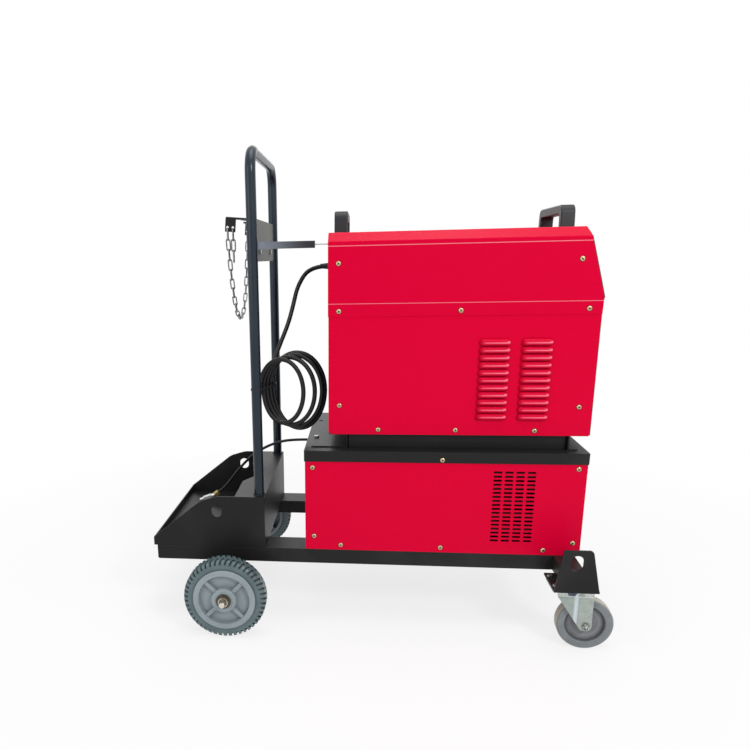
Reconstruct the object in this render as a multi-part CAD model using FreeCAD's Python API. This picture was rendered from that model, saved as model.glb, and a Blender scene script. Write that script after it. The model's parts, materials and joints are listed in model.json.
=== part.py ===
import FreeCAD, Part
import math
import os

# Plasma cutter on a bottle cart: a power source stands on a cooling unit, and both ride on
# a steel cart with a bottle tray, a push handle, two fixed rear wheels and two front casters.
# Units are millimetres. While modelling, X runs from the rear axle to the front, Y from the
# near side to the far side, and Z up from the floor. The finished part is moved so that its
# origin lies under the middle of its box.

V = FreeCAD.Vector
UP = V(0, 0, 1)
AHEAD = V(1, 0, 0)
ACROSS = V(0, 1, 0)

# Clearances
weld_gap = 0.2
seat_gap = 0.3
running_fit = 0.05
swivel_gap = 0.6

# How far a cutter reaches past what it cuts
through = 10.0

# Rear wheels and axle
wheel_radius = 104.0
wheel_mid_y = 305.5
hub_ring_radius = 79.0
hub_ring_inner = 65.0
hub_barrel_radius = 76.0
hub_half_width = 26.5
hub_boss_radius = 31.0
hub_boss_half = 30.5
hub_spokes = 4
spoke_width = 9.0
tyre_half_width = 23.0
tyre_seat_half = 22.0
tyre_shoulder = 10.0
tyre_bead = 5.0
tyre_lugs = 48
lug_groove_width = 5.2
lug_groove_depth = 3.5
lug_groove_reach = 20.0
lug_groove_tilt = 23.0
lug_slant = 20.0
axle_radius = 8.0
axle_end_reach = 15.2
axle_end_chamfer = 1.5
split_pin_radius = 1.6
split_pin_reach = 6.0
axle_tube_radius = 15.0
axle_bracket_thickness = 6.0
axle_bracket_half = 24.0
washer_radius = 19.0
washer_thickness = 2.5
collar_radius = 12.5
collar_width = 7.0

# Frame
rail_height = 38.0
rail_width = 76.0
rail_wall = 3.0
rail_outer_y = 224.0
rail_bottom_z = 165.5
rail_rear_x = -191.0
rail_front_x = 808.0
cap_thickness = 3.0
front_tube_depth = 50.0
rear_tube_depth = 38.0

# Front corner brackets and casters
caster_x = 835.0
caster_y = 292.5
caster_wheel_radius = 65.0
caster_wheel_half = 17.0
caster_trail = 37.0
caster_turn_near = 4.0
caster_turn_far = -7.0
caster_rim_radius = 46.0
fork_crease_radius = 3.2
fork_crease_depth = 2.0
fork_crease_reach = 22.0
caster_boss_radius = 15.0
caster_boss_half = 21.0
caster_axle_radius = 6.0
caster_plate_length = 100.0
caster_plate_width = 76.0
caster_plate_thickness = 3.0
caster_bolt_x = 42.0
caster_bolt_y = 27.0
caster_race_radius = 31.0
caster_race_height = 4.5
kingpin_radius = 6.0
fork_sheet = 3.5
fork_inner_half = 22.0
fork_rear_reach = 32.0
fork_plate_thickness = 4.0
bracket_thickness = 5.0
bracket_rear_x = 784.5
bracket_front_x = 886.0
bracket_inner_y = 243.0
bracket_outer_y = 343.0
ear_top_z = 266.0
ear_top_rear_x = 799.5
ear_top_front_x = 864.0
ear_hole_x = 830.5
ear_hole_z = 234.5
ear_hole_width = 28.0
ear_hole_height = 38.0
bolt_radius = 4.0
bolt_head_radius = 6.5
bolt_head_height = 5.0

# Bottle tray
tray_sheet = 3.0
tray_rear_x = -202.0
tray_front_x = 93.0
tray_lip_height = 22.0
tray_side_height = 136.5
tray_slope_end_x = -74.0
tray_slope_end_drop = 13.5
tray_side_top_x = -28.5
tray_hole_x = -31.5
tray_hole_drop = 39.0
tray_hole_width = 27.0
tray_hole_height = 32.0
shelf_rear_x = 16.0
cradle_half_width = 88.0
cradle_floor_x = 48.0
cradle_floor_half = 28.0

# Push handle
handle_radius = 12.5
handle_x = 77.3
handle_y = 200.4
handle_top_z = 1176.0
handle_bend = 52.0
cross_plate_thickness = 4.0
cross_plate_bottom_z = 915.0
cross_plate_top_z = 1014.0

# Bottle yoke and chain
yoke_thickness = 4.0
yoke_half_width = 150.0
yoke_flange_half = 128.0
yoke_flange_height = 88.0
yoke_tip_x = 7.0
yoke_tip_width = 40.0
yoke_bottle_radius = 118.0
yoke_bottle_x = -50.0
yoke_tab_length = 25.0
yoke_tab_drop = 34.0
yoke_tilt = 5.0
yoke_bolt_y = 100.0
yoke_bolt_z = 939.0
chain_hole_radius = 3.2
chain_hole_in = 5.5
chain_hole_drop = 24.0
tail_hole_in = 18.5
chain_wire = 3.2
chain_pitch = 25.0
chain_slack = 0.6
chain_link_width = 12.0
chain_links = 23
tail_links = 3

# Stay arm
arm_size = 16.0
arm_wall = 1.5
arm_y = 192.0
arm_mid_z = 951.3
arm_end_x = 221.0
arm_cap_thickness = 2.0
stay_radius = 1.5

# Cooling unit
cooler_rear_x = 197.0
cooler_front_x = 869.0
cooler_half_width = 224.0
cooler_sheet = 1.8
cooler_base_sheet = 2.0
cooler_base_lip = 20.0
cooler_fold = 12.0
lid_top_z = 464.0
lid_skirt = 27.5
lid_lap = 22.0
slot_columns = 4
slot_rows = 18
slot_length = 20.0
slot_height = 5.5
slot_corner = 2.2
slot_column_pitch = 26.3
slot_row_pitch = 10.3
slot_rear_x = 663.5
slot_top_z = 414.3
lid_slot_x = 838.0
lid_slot_half_width = 3.0
lid_slot_half_length = 40.0
lid_slot_y = 120.0
lid_corner = 1.5
side_low_corner = 4.0

# Rear and front panel of the cooling unit
bulkhead_nut_radius = 9.0
bulkhead_nut_length = 8.0
bulkhead_neck_radius = 5.5
bulkhead_stem_radius = 7.0
bulkhead_stem_inside = 6.0
coupling_ys = (60.0, 110.0)
coupling_z = 255.0
coupling_nut_radius = 13.0
coupling_nut_length = 8.0
coupling_barrel_radius = 10.0
coupling_barrel_length = 16.0
coupling_stem_radius = 7.0
coupling_stem_inside = 3.0
coupling_bore_radius = 5.0
coupling_bore_start = 4.0
window_y = -190.0
window_z = 320.0
window_half_width = 7.0
window_half_height = 50.0
rocker_y = 150.0
rocker_z = 405.0
rocker_hole_half_width = 8.0
rocker_hole_half_height = 12.0
rocker_bezel_rim = 4.0
rocker_bezel_depth = 3.0
rocker_half_width = 7.5

# Inside of the cooling unit
tank_gap = 6.0
tank_depth = 72.0
tank_near_y = -185.0
tank_far_y = 150.0
tank_top_z = 430.0
tank_corner = 12.0
filler_y = -140.0
filler_z = 405.0
filler_neck_radius = 16.0
filler_neck_wall = 3.0
filler_neck_reach = 9.0
cap_radius = 21.0
cap_length = 13.0
cap_grips = 8
cap_grip_radius = 4.0
cap_grip_circle = 22.5
pump_y = -40.0
pump_axis_rise = 62.0
pump_motor_x = 455.0
pump_motor_radius = 52.0
pump_motor_length = 120.0
pump_head_radius = 38.0
pump_head_length = 42.0
pump_foot_length = 90.0
pump_foot_half = 45.0
pump_foot_height = 22.0
pump_port_radius = 9.0
pump_outlet_length = 60.0
pump_inlet_length = 32.0
radiator_z = 325.0
radiator_half_length = 62.0
radiator_half_height = 100.0
radiator_depth = 36.0
radiator_inset = 10.0
radiator_fins = 25
radiator_fin_pitch = 8.0
radiator_fin_thickness = 2.0
radiator_header = 8.0
shroud_radius = 84.0
shroud_bore_radius = 81.0
shroud_depth = 42.0
shroud_bar_half = 8.0
shroud_bar_depth = 5.0
shroud_motor_radius = 22.0
shroud_motor_start = 60.0
shroud_motor_length = 30.0

# Fan rotors
fan_cup_depth = 18.0
fan_shaft_radius = 4.0
fan_shaft_length = 10.0
fan_blades = 7
fan_blade_half_chord = 9.0
fan_blade_half_thickness = 1.0
fan_blade_pitch = 32.0
cooler_rotor_radius = 76.0
cooler_rotor_hub = 18.0
cooler_rotor_start = 38.5
source_rotor_radius = 73.0
source_rotor_hub = 22.0
source_rotor_gap = 4.0

# Brackets between the two units
unit_bracket_thickness = 3.0
rear_foot_x = 211.0
rear_foot_inset = 11.0
front_foot_x = 849.0
front_foot_inset = 3.0
upstand_height = 30.0
skid_rear_x = 304.0
skid_front_x = 823.0
skid_width = 35.0
skid_wall = 2.5
skid_inset = 15.0
bracket_hole_radius = 6.0
bracket_hole_x = 218.0
bracket_hole_y = 100.0

# Power source
source_rear_x = 253.5
source_front_x = 874.0
source_half_width = 200.0
source_sheet = 1.5
source_bottom_z = 499.0
source_top_z = 977.0
hood_low_z = 785.0
knee_z = 822.0
knee_x = 875.0
fold_z = 956.0
fold_lean = 4.0
top_bevel = 30.0
fold_radius = 3.0
top_corner_radius = 6.0
brow_x = 834.0
hood_lap = 30.0
side_rear_corner = 10.0
side_front_corner = 5.0
source_base_lip = 25.0
louvre_columns = (641.7, 737.0)
louvre_rows = 11
louvre_length = 67.5
louvre_height = 14.0
louvre_depth = 6.0
louvre_sheet = 1.0
louvre_rim = 1.6
louvre_lip_height = 4.0
louvre_bend = 6.0
louvre_pitch = 17.65
louvre_top_z = 722.5
panel_thickness = 2.5
panel_proud = 2.5
panel_step = 0.5
rear_panel_inset = 2.0
slope_length = 152.0
panel_lip = 12.0
panel_bend_drop = 8.0

# Front panel of the power source
knob_y = 70.0
knob_rise = 92.0
knob_radius = 19.0
knob_length = 17.0
knob_grips = 12
knob_grip_circle = 20.5
knob_grip_radius = 3.0
knob_grip_start = 4.0
knob_shaft_radius = 3.5
knob_shaft_inside = 9.0
toggle_y = 140.0
toggle_rise = 60.0
toggle_hole_radius = 6.5
toggle_barrel_radius = 4.4
toggle_barrel_half = 3.0
toggle_root_radius = 2.2
toggle_tip_radius = 3.4
toggle_length = 17.0
toggle_rest_angle = 12.0
toggle_collar_radius = 9.5
toggle_collar_height = 4.0
display_y = -60.0
display_rise = 88.0
display_half_height = 24.0
display_half_width = 60.0
display_thickness = 1.6

# Sockets of the front panel, each length measured out from the face or in behind it
torch_socket = {"y": 95.0, "z": 610.0, "flange": (32.0, 5.0), "barrel": (24.0, 14.0), "stem": (17.0, 14.0),
                "bore": (14.0, 6.0), "hole": 18.0}
work_socket = {"y": -95.0, "z": 610.0, "flange": (22.0, 6.0), "barrel": (17.0, 12.0), "stem": (13.0, 14.0),
               "bore": (8.0, 6.0), "hole": 14.0}
control_socket = {"y": 0.0, "z": 700.0, "flange": (13.0, 9.0), "stem": (8.5, 10.0),
                  "bore": (7.0, 2.0), "hole": 9.0}

# Rear panel of the power source
fan_z = 680.0
fan_opening = 74.0
grille_rows = 6
grille_pitch = 11.0
grille_slot_half = 3.5
grille_web_half = 2.5
fan_frame_half = 80.0
fan_frame_depth = 38.0
fan_frame_bore = 77.0
fan_bar_depth = 6.0
fan_bar_half = 9.0
fan_motor_radius = 24.0
fan_motor_length = 14.0
breaker_y = 150.0
breaker_z = 850.0
breaker_half_width = 16.5
breaker_half_height = 20.5
breaker_proud = 4.0
breaker_depth = 60.0
breaker_play = 0.5
breaker_pocket_half_width = 8.0
breaker_pocket_half_height = 14.0
breaker_pocket_depth = 8.0
breaker_barrel_radius = 5.5
breaker_lever_half = 7.5
breaker_paddle_length = 8.0
breaker_paddle_half = 3.0
breaker_pivot_depth = 2.0
breaker_rest_angle = 30.0

# Inside of the power source, lengths measured along X and heights above its floor
heatsink_rear_x = 330.0
heatsink_length = 270.0
heatsink_half = 150.0
heatsink_rise = 150.0
heatsink_plate = 12.0
heatsink_fins = 16
heatsink_fin_depth = 50.0
heatsink_fin_pitch = 20.0
heatsink_fin_thickness = 3.0
transformer_rear_x = 640.0
transformer_half = 70.0
transformer_limb = 28.0
transformer_window = 32.0
transformer_centre_limb = 40.0
transformer_low = 8.0
transformer_high = 150.0
winding_half = 86.0
board_rise = 230.0
board_rear_x = 380.0
board_length = 260.0
board_half = 120.0
board_thickness = 2.0
board_leg_radius = 4.0
board_leg_inset = 12.0

# Top handles
top_handle_width = 32.0
top_handle_centres = (281.0, 804.0)
top_handle_half = 115.0
top_handle_height = 51.0
top_handle_leg = 22.0
top_handle_bar = 20.0
top_handle_edge = 3.0

# Screws of both cases, as (x, z) on the near side
screw_radius = 6.0
screw_height = 2.6
hood_screws = [(278, 907), (821, 907), (279, 798), (561, 797), (845, 798)]
side_screws = [(281, 572), (843, 570), (376, 512), (561, 512), (746, 512)]
cooler_side_screws = [(216, 420.5), (849, 425), (219, 239.5), (286.5, 216.5),
                      (534.5, 216.5), (782, 216.5), (850.5, 237)]
lid_screws = [(531, 444)]

# Cords
mains_radius = 5.75
coil_turns = 4
coil_back_y = -113.0
coil_layer = 13.0
coil_left_x = 108.0
coil_left_step = -7.0
coil_right_x = 243.0
coil_right_step = -1.5
coil_right_growth = -5.3
coil_top_z = 694.0
coil_top_step = -4.0
coil_bottom_z = 494.0
coil_bottom_step = 7.5
coil_middle_z = 604.0
coil_right_drop = 6.0
coil_top_shift = 4.0
mains_lead_in = 48.0
strap_z = 612.0
strap_width = 5.0
strap_thickness = 1.2
bundle_x = 100.0
bundle_y = -118.0
bundle_radius = 16.3
gland_y = 80.0
gland_z = 899.0
gland_length = 14.5
gland_radius = 14.0
gland_nut_length = 7.0
gland_wall = 3.0
gland_stem_radius = 9.0
gland_stem_length = 12.0
gland_hole_radius = 9.5
gland_bore_start = 6.0
hose_radius = 4.0
hose_start_y = 90.0
hose_start_z = 413.0
bulkhead_length = 17.0
fitting_nut_radius = 9.0
fitting_nut_length = 13.0
fitting_neck_radius = 5.5
fitting_neck_length = 14.0
fitting_body_radius = 7.5
fitting_body_length = 26.0
fitting_nipple_radius = 4.6
fitting_nipple_length = 12.0
fitting_slope = V(-0.937, -0.02, -0.35)

# Worked-out levels and faces
rail_top_z = rail_bottom_z + rail_height
tray_floor_z = rail_top_z + tray_sheet
tray_top_z = rail_top_z + tray_side_height
axle_z = wheel_radius
axle_face_y = wheel_mid_y + hub_boss_half + seat_gap
axle_half_length = axle_face_y + washer_thickness + collar_width + axle_end_reach
bracket_low_z = rail_bottom_z - bracket_thickness
caster_plate_low_z = bracket_low_z - caster_plate_thickness
front_tube_front_x = rail_front_x + front_tube_depth
cross_plate_rear_x = handle_x - cross_plate_thickness / 2
lid_skirt_z = lid_top_z - lid_skirt
source_front_inner_x = source_front_x - 2 * source_sheet
fold_half_width = source_half_width - fold_lean
top_half_width = fold_half_width - top_bevel
skid_outer_y = source_half_width - skid_inset
rear_foot_half = source_half_width - rear_foot_inset
front_foot_half = source_half_width - front_foot_inset
slot_middle_x = slot_rear_x + slot_column_pitch * (slot_columns - 1) / 2
cooler_floor_z = rail_top_z + cooler_base_sheet
cooler_inner_half = cooler_half_width - cooler_sheet
cooler_panel_half = cooler_inner_half - seat_gap
cooler_panel_rear_x = cooler_rear_x + cooler_sheet + seat_gap
cooler_panel_front_x = cooler_front_x - cooler_sheet - seat_gap
cooler_panel_low_z = cooler_floor_z + weld_gap
cooler_side_top_z = lid_skirt_z + lid_lap
source_floor_z = source_bottom_z + cooler_base_sheet
source_panel_half = source_half_width - 2 * source_sheet - weld_gap - seat_gap
source_panel_low_z = source_floor_z + weld_gap
source_face_x = source_front_x + panel_step
rear_panel_x = source_rear_x + rear_panel_inset

pieces = {}
cord_names = ("mains_cable", "mains_coil", "gas_hose", "hose_fitting")


def block(x0, x1, y0, y1, z0, z1):
    return Part.makeBox(x1 - x0, y1 - y0, z1 - z0, V(x0, y0, z0))


def rod(start, direction, radius, length):
    return Part.makeCylinder(radius, length, start, direction)


def hexagon(start, direction, radius, length):
    angles = [math.radians(60 * n) for n in range(7)]
    ring = [V(radius * math.cos(angle), radius * math.sin(angle), 0) for angle in angles]
    prism = Part.Face(Part.makePolygon(ring)).extrude(V(0, 0, length))
    prism.Placement = FreeCAD.Placement(start, FreeCAD.Rotation(UP, direction))
    return prism


# Cutter for a round hole along X through the sheet at the spot
def hole_ahead(spot, radius):
    return rod(spot - AHEAD * through, AHEAD, radius, 2 * through)


# A closed outline through the points, each corner rounded by its radius
def outline(points, radii):
    count = len(points)
    if not isinstance(radii, (list, tuple)):
        radii = [radii] * count
    edges = []
    ends = []
    for n in range(count):
        corner = points[n]
        to_last = (points[n - 1] - corner).normalize()
        to_next = (points[(n + 1) % count] - corner).normalize()
        half = to_last.getAngle(to_next) / 2
        if radii[n] == 0:
            ends.append((corner, None, corner))
            continue
        reach = radii[n] / math.tan(half)
        middle = (to_last + to_next).normalize()
        ends.append((
            corner + to_last * reach,
            corner + middle * (radii[n] / math.sin(half) - radii[n]),
            corner + to_next * reach,
        ))
    for n in range(count):
        start, middle, end = ends[n]
        if middle is not None:
            edges.append(Part.Arc(start, middle, end).toShape())
        following = ends[(n + 1) % count][0]
        if end.distanceToPoint(following) > 1e-6:
            edges.append(Part.LineSegment(end, following).toShape())
    return Part.Wire(edges)


def plate_xz(points, y0, y1, radii=0):
    wire = outline([V(x, y0, z) for x, z in points], radii)
    return Part.Face(wire).extrude(V(0, y1 - y0, 0))


def plate_xy(points, z0, z1, radii=0):
    wire = outline([V(x, y, z0) for x, y in points], radii)
    return Part.Face(wire).extrude(V(0, 0, z1 - z0))


def plate_yz(points, x0, x1, radii=0):
    wire = outline([V(x0, y, z) for y, z in points], radii)
    return Part.Face(wire).extrude(V(x1 - x0, 0, 0))


# A body turned about an axis along Y, from its half section as (radius, y)
def turned(section, x, y, z, radii=0):
    face = Part.Face(outline([V(r, s, 0) for r, s in section], radii))
    body = face.revolve(V(0, 0, 0), ACROSS, 360)
    body.translate(V(x, y, z))
    return body


def mirrored(shape):
    return shape.mirror(V(0, 0, 0), ACROSS)


def both_sides(shape):
    return [shape, mirrored(shape)]


def group(solids):
    return Part.makeCompound(solids)


def add(name, shape):
    pieces[name] = shape


# Upright oblong hole through a plate that lies across Y
def oblong(x, z, width, height, y0, y1):
    half_w = width / 2
    half_h = height / 2
    corners = [(x - half_w, z - half_h), (x + half_w, z - half_h), (x + half_w, z + half_h),
               (x - half_w, z + half_h)]
    return plate_xz(corners, y0, y1, half_w * 0.98)


def rails_and_tubes():
    inner_y = rail_outer_y - rail_width
    outer = block(rail_rear_x, rail_front_x - weld_gap, -rail_outer_y, -inner_y, rail_bottom_z, rail_top_z)
    bore = block(rail_rear_x - 1, rail_front_x + 1, -rail_outer_y + rail_wall, -inner_y - rail_wall,
                 rail_bottom_z + rail_wall, rail_top_z - rail_wall)
    cap = block(rail_rear_x - cap_thickness, rail_rear_x, -rail_outer_y + 1, -inner_y - 1,
                rail_bottom_z + 1, rail_top_z - 1)
    near = [outer.cut(bore), cap]
    add("rail_near", group(near))
    add("rail_far", group([mirrored(solid) for solid in near]))
    reach = bracket_outer_y - bracket_thickness - weld_gap
    front = block(rail_front_x, front_tube_front_x, -reach, reach, rail_bottom_z, rail_top_z)
    front_bore = block(rail_front_x + rail_wall, front_tube_front_x - rail_wall, -reach - 1, reach + 1,
                       rail_bottom_z + rail_wall, rail_top_z - rail_wall)
    half = rear_tube_depth / 2
    rear_reach = inner_y - weld_gap
    rear = block(-half, half, -rear_reach, rear_reach, rail_bottom_z, rail_top_z)
    rear_bore = block(-half + rail_wall, half - rail_wall, -rear_reach - 1, rear_reach + 1,
                      rail_bottom_z + rail_wall, rail_top_z - rail_wall)
    add("cross_tubes", group([front.cut(front_bore), rear.cut(rear_bore)]))


def caster_bolt_spots():
    spots = []
    for side in (-1, 1):
        for dx in (-caster_bolt_x, caster_bolt_x):
            for dy in (-caster_bolt_y, caster_bolt_y):
                spots.append((caster_x + dx, side * caster_y + dy))
    return spots


# Corner bracket: a flat foot under the cross tube with an upright lifting ear
def caster_brackets():
    foot = block(bracket_rear_x, bracket_front_x, -bracket_outer_y, -bracket_inner_y,
                 bracket_low_z, rail_bottom_z)
    ear_points = [(bracket_rear_x, bracket_low_z), (bracket_front_x, bracket_low_z),
                  (ear_top_front_x, ear_top_z), (ear_top_rear_x, ear_top_z)]
    ear_inner_y = bracket_outer_y - bracket_thickness
    ear = plate_xz(ear_points, -bracket_outer_y, -ear_inner_y, [2, 2, 9, 4])
    hole = oblong(ear_hole_x, ear_hole_z, ear_hole_width, ear_hole_height,
                  -bracket_outer_y - 1, -ear_inner_y + 1)
    bracket = foot.fuse(ear).removeSplitter().cut(hole)
    drill = [rod(V(x, y, bracket_low_z - 1), UP, bolt_radius + weld_gap, bracket_thickness + 2)
             for x, y in caster_bolt_spots()]
    near = bracket.cut(drill)
    add("caster_bracket_near", near)
    add("caster_bracket_far", mirrored(near))


def bottle_tray():
    side_points = [(tray_rear_x, rail_top_z), (tray_front_x, rail_top_z), (tray_front_x, tray_top_z),
                   (tray_side_top_x, tray_top_z), (tray_slope_end_x, tray_top_z - tray_slope_end_drop),
                   (tray_rear_x, rail_top_z + tray_lip_height)]
    inner_y = rail_outer_y - tray_sheet
    side = plate_xz(side_points, -rail_outer_y, -inner_y, [0, 0, 3, 60, 60, 2])
    hole = oblong(tray_hole_x, tray_top_z - tray_hole_drop, tray_hole_width, tray_hole_height,
                  -rail_outer_y - 1, -inner_y + 1)
    side = side.cut(hole)
    floor = block(tray_rear_x, tray_front_x, -rail_outer_y, rail_outer_y, rail_top_z, tray_floor_z)
    lip = block(tray_rear_x, tray_rear_x + tray_sheet, -rail_outer_y, rail_outer_y,
                rail_top_z, rail_top_z + tray_lip_height)
    wall = block(tray_front_x - tray_sheet, tray_front_x, -rail_outer_y, rail_outer_y,
                 rail_top_z, tray_top_z)
    tray = floor.multiFuse([side, mirrored(side), lip, wall, tray_shelf()]).removeSplitter()
    add("bottle_tray", tray)


# Shelf folded back from the tray's front wall, with the cradle that the bottle leans in
def tray_shelf():
    points = [(tray_front_x - 1, -rail_outer_y + 1), (tray_front_x - 1, rail_outer_y - 1),
              (shelf_rear_x, rail_outer_y - 1), (shelf_rear_x, cradle_half_width),
              (cradle_floor_x, cradle_floor_half), (cradle_floor_x, -cradle_floor_half),
              (shelf_rear_x, -cradle_half_width), (shelf_rear_x, -rail_outer_y + 1)]
    shelf = plate_xy(points, tray_top_z - tray_sheet, tray_top_z, [0, 0, 0, 3, 10, 10, 3, 0])
    radius = handle_radius + weld_gap
    low = tray_top_z - tray_sheet - 1
    high = tray_top_z + 1
    round_end = rod(V(handle_x, -handle_y, low), UP, radius, high - low)
    straight = block(handle_x, tray_front_x - tray_sheet, -handle_y - radius, -handle_y + radius, low, high)
    return shelf.cut(both_sides(round_end.fuse(straight)))


# One round tube bent into an upside-down U, standing in the tray
def push_handle():
    top = handle_top_z - handle_radius
    foot = tray_floor_z + weld_gap
    bend = handle_bend
    corner = bend * (1 - math.sqrt(0.5))
    path = []
    near_top = V(handle_x, -handle_y, top - bend)
    path.append(Part.LineSegment(V(handle_x, -handle_y, foot), near_top).toShape())
    near_bar = V(handle_x, -handle_y + bend, top)
    near_mid = V(handle_x, -handle_y + corner, top - corner)
    path.append(Part.Arc(near_top, near_mid, near_bar).toShape())
    far_bar = V(handle_x, handle_y - bend, top)
    path.append(Part.LineSegment(near_bar, far_bar).toShape())
    far_mid = V(handle_x, handle_y - corner, top - corner)
    far_top = V(handle_x, handle_y, top - bend)
    path.append(Part.Arc(far_bar, far_mid, far_top).toShape())
    path.append(Part.LineSegment(far_top, V(handle_x, handle_y, foot)).toShape())
    section = Part.Wire([Part.makeCircle(handle_radius, V(handle_x, -handle_y, foot), UP)])
    add("handle_tube", Part.Wire(path).makePipeShell([section], True, False))
    reach = handle_y - handle_radius - weld_gap
    plate = block(cross_plate_rear_x, cross_plate_rear_x + cross_plate_thickness, -reach, reach,
                  cross_plate_bottom_z, cross_plate_top_z)
    holes = [hole_ahead(V(cross_plate_rear_x, y, yoke_bolt_z), bolt_radius + weld_gap)
             for y in (-yoke_bolt_y, yoke_bolt_y)]
    add("handle_cross_plate", plate.cut(holes))


# The yoke's horns lean up from the fold along the cross plate's top edge
def tilt_horns(shape):
    shape.rotate(V(cross_plate_rear_x, 0, cross_plate_top_z), ACROSS, yoke_tilt)
    return shape


def tilted_point(x, y, z):
    point = Part.Vertex(x, y, z)
    return tilt_horns(point).Point


# Middle of the wire that hangs in one of the tab's holes
def tab_pivot(hole_in):
    hole = tilted_point(yoke_tip_x + hole_in, 0, cross_plate_top_z - chain_hole_drop)
    return hole - UP * (chain_hole_radius - chain_wire / 2 - seat_gap)


def bottle_yoke():
    rear = cross_plate_rear_x - yoke_thickness
    upright = block(rear, cross_plate_rear_x, -yoke_flange_half, yoke_flange_half,
                    cross_plate_top_z - yoke_flange_height, cross_plate_top_z - 1)
    bolt_holes = [rod(V(rear - 1, y, yoke_bolt_z), AHEAD, bolt_radius + weld_gap, yoke_thickness + 2)
                  for y in (-yoke_bolt_y, yoke_bolt_y)]
    upright = upright.cut(bolt_holes)
    inner_tip = yoke_half_width - yoke_tip_width
    low = cross_plate_top_z - yoke_thickness
    sheet = plate_xy([(yoke_tip_x, -yoke_half_width), (cross_plate_rear_x, -yoke_half_width),
                      (cross_plate_rear_x, yoke_half_width), (yoke_tip_x, yoke_half_width)],
                     low, cross_plate_top_z, [4, 12, 12, 4])
    bottle = rod(V(yoke_bottle_x, 0, low - 1), UP, yoke_bottle_radius, yoke_thickness + 2)
    mouth = block(yoke_tip_x - 5, yoke_tip_x + 30, -inner_tip, inner_tip, low - 1, cross_plate_top_z + 1)
    horns = sheet.cut([bottle, mouth])
    tab = block(yoke_tip_x, yoke_tip_x + yoke_tab_length, -yoke_half_width, -yoke_half_width + yoke_thickness,
                cross_plate_top_z - yoke_tab_drop, low + 1)
    holes = [rod(V(yoke_tip_x + hole_in, -yoke_half_width - 1, cross_plate_top_z - chain_hole_drop),
                 ACROSS, chain_hole_radius, yoke_thickness + 2) for hole_in in (chain_hole_in, tail_hole_in)]
    tab = tab.cut(holes)
    leaning = tilt_horns(horns.multiFuse([tab, mirrored(tab)]).removeSplitter())
    add("bottle_yoke", upright.fuse(leaning).removeSplitter())


# One chain link: a ring of straight facets, long way along Z and width along X
def chain_link():
    half_length = (chain_pitch + chain_slack + chain_wire) / 2
    half_width = (chain_link_width - chain_wire) / 2
    shoulder = half_length - half_width * math.sin(math.radians(45))
    spots = []
    for end in (1, -1):
        for angle in (0, 45, 135, 180):
            turn = math.radians(angle if end == 1 else angle + 180)
            spots.append(V(half_width * math.cos(turn), 0, end * shoulder + half_width * math.sin(turn)))
    count = len(spots)
    sides = 6
    rings = []
    for n in range(count):
        before = (spots[n] - spots[n - 1]).normalize()
        after = (spots[(n + 1) % count] - spots[n]).normalize()
        along = (before + after).normalize()
        outward = along.cross(ACROSS)
        stretch = 1 / math.cos(before.getAngle(after) / 2)
        ring = []
        for side in range(sides):
            turn = math.radians(360 * side / sides)
            offset = outward * (math.cos(turn) * stretch) + ACROSS * math.sin(turn)
            ring.append(spots[n] + offset * (chain_wire / 2))
        rings.append(ring)
    faces = []
    for n in range(count):
        here = rings[n]
        there = rings[(n + 1) % count]
        for side in range(sides):
            following = (side + 1) % sides
            corners = [here[side], here[following], there[following], there[side], here[side]]
            faces.append(Part.Face(Part.makePolygon(corners)))
    return Part.Solid(Part.makeShell(faces))


# Places a link with its length along a direction and its width across it
def place_link(link, middle, along, width):
    rotation = FreeCAD.Rotation(width, along.cross(width), along, "XZY")
    placed = link.copy()
    placed.Placement = FreeCAD.Placement(middle, rotation)
    return placed


# Points at equal spacing on a hanging chain between two level hooks
def hanging_points(span, links, pitch):
    low = 1.0
    high = 2000.0
    for _ in range(80):
        scale = (low + high) / 2
        if 2 * scale * math.sinh(span / (2 * scale)) > links * pitch:
            low = scale
        else:
            high = scale
    points = []
    for n in range(links + 1):
        arc = (n - links / 2) * pitch
        y = scale * math.asinh(arc / scale)
        points.append((y, scale * (math.cosh(y / scale) - math.cosh(span / (2 * scale)))))
    return points


# The end links hang straight down from the tabs, and the rest hangs between them
def bottle_chain():
    link = chain_link()
    below = UP * (-(chain_wire + chain_slack) / 2)
    side = yoke_half_width - yoke_thickness / 2
    top = tab_pivot(chain_hole_in) + below
    low = top - UP * chain_pitch
    points = [V(low.x, y, low.z + z) for y, z in hanging_points(2 * side, chain_links - 2, chain_pitch)]
    points = [V(top.x, -side, top.z)] + points + [V(top.x, side, top.z)]
    links = []
    for n in range(chain_links):
        along = (points[n] - points[n + 1]).normalize()
        middle = (points[n] + points[n + 1]) * 0.5
        width = along.cross(AHEAD) if n % 2 == 0 else AHEAD
        links.append(place_link(link, middle, along, width))
    add("bottle_chain", group(links))
    tail_top = tab_pivot(tail_hole_in) + below - ACROSS * side
    tail = []
    for n in range(tail_links):
        middle = tail_top - UP * (chain_pitch * (n + 0.5))
        tail.append(place_link(link, middle, UP, ACROSS if n % 2 == 0 else AHEAD))
    add("chain_tail", group(tail))


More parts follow.
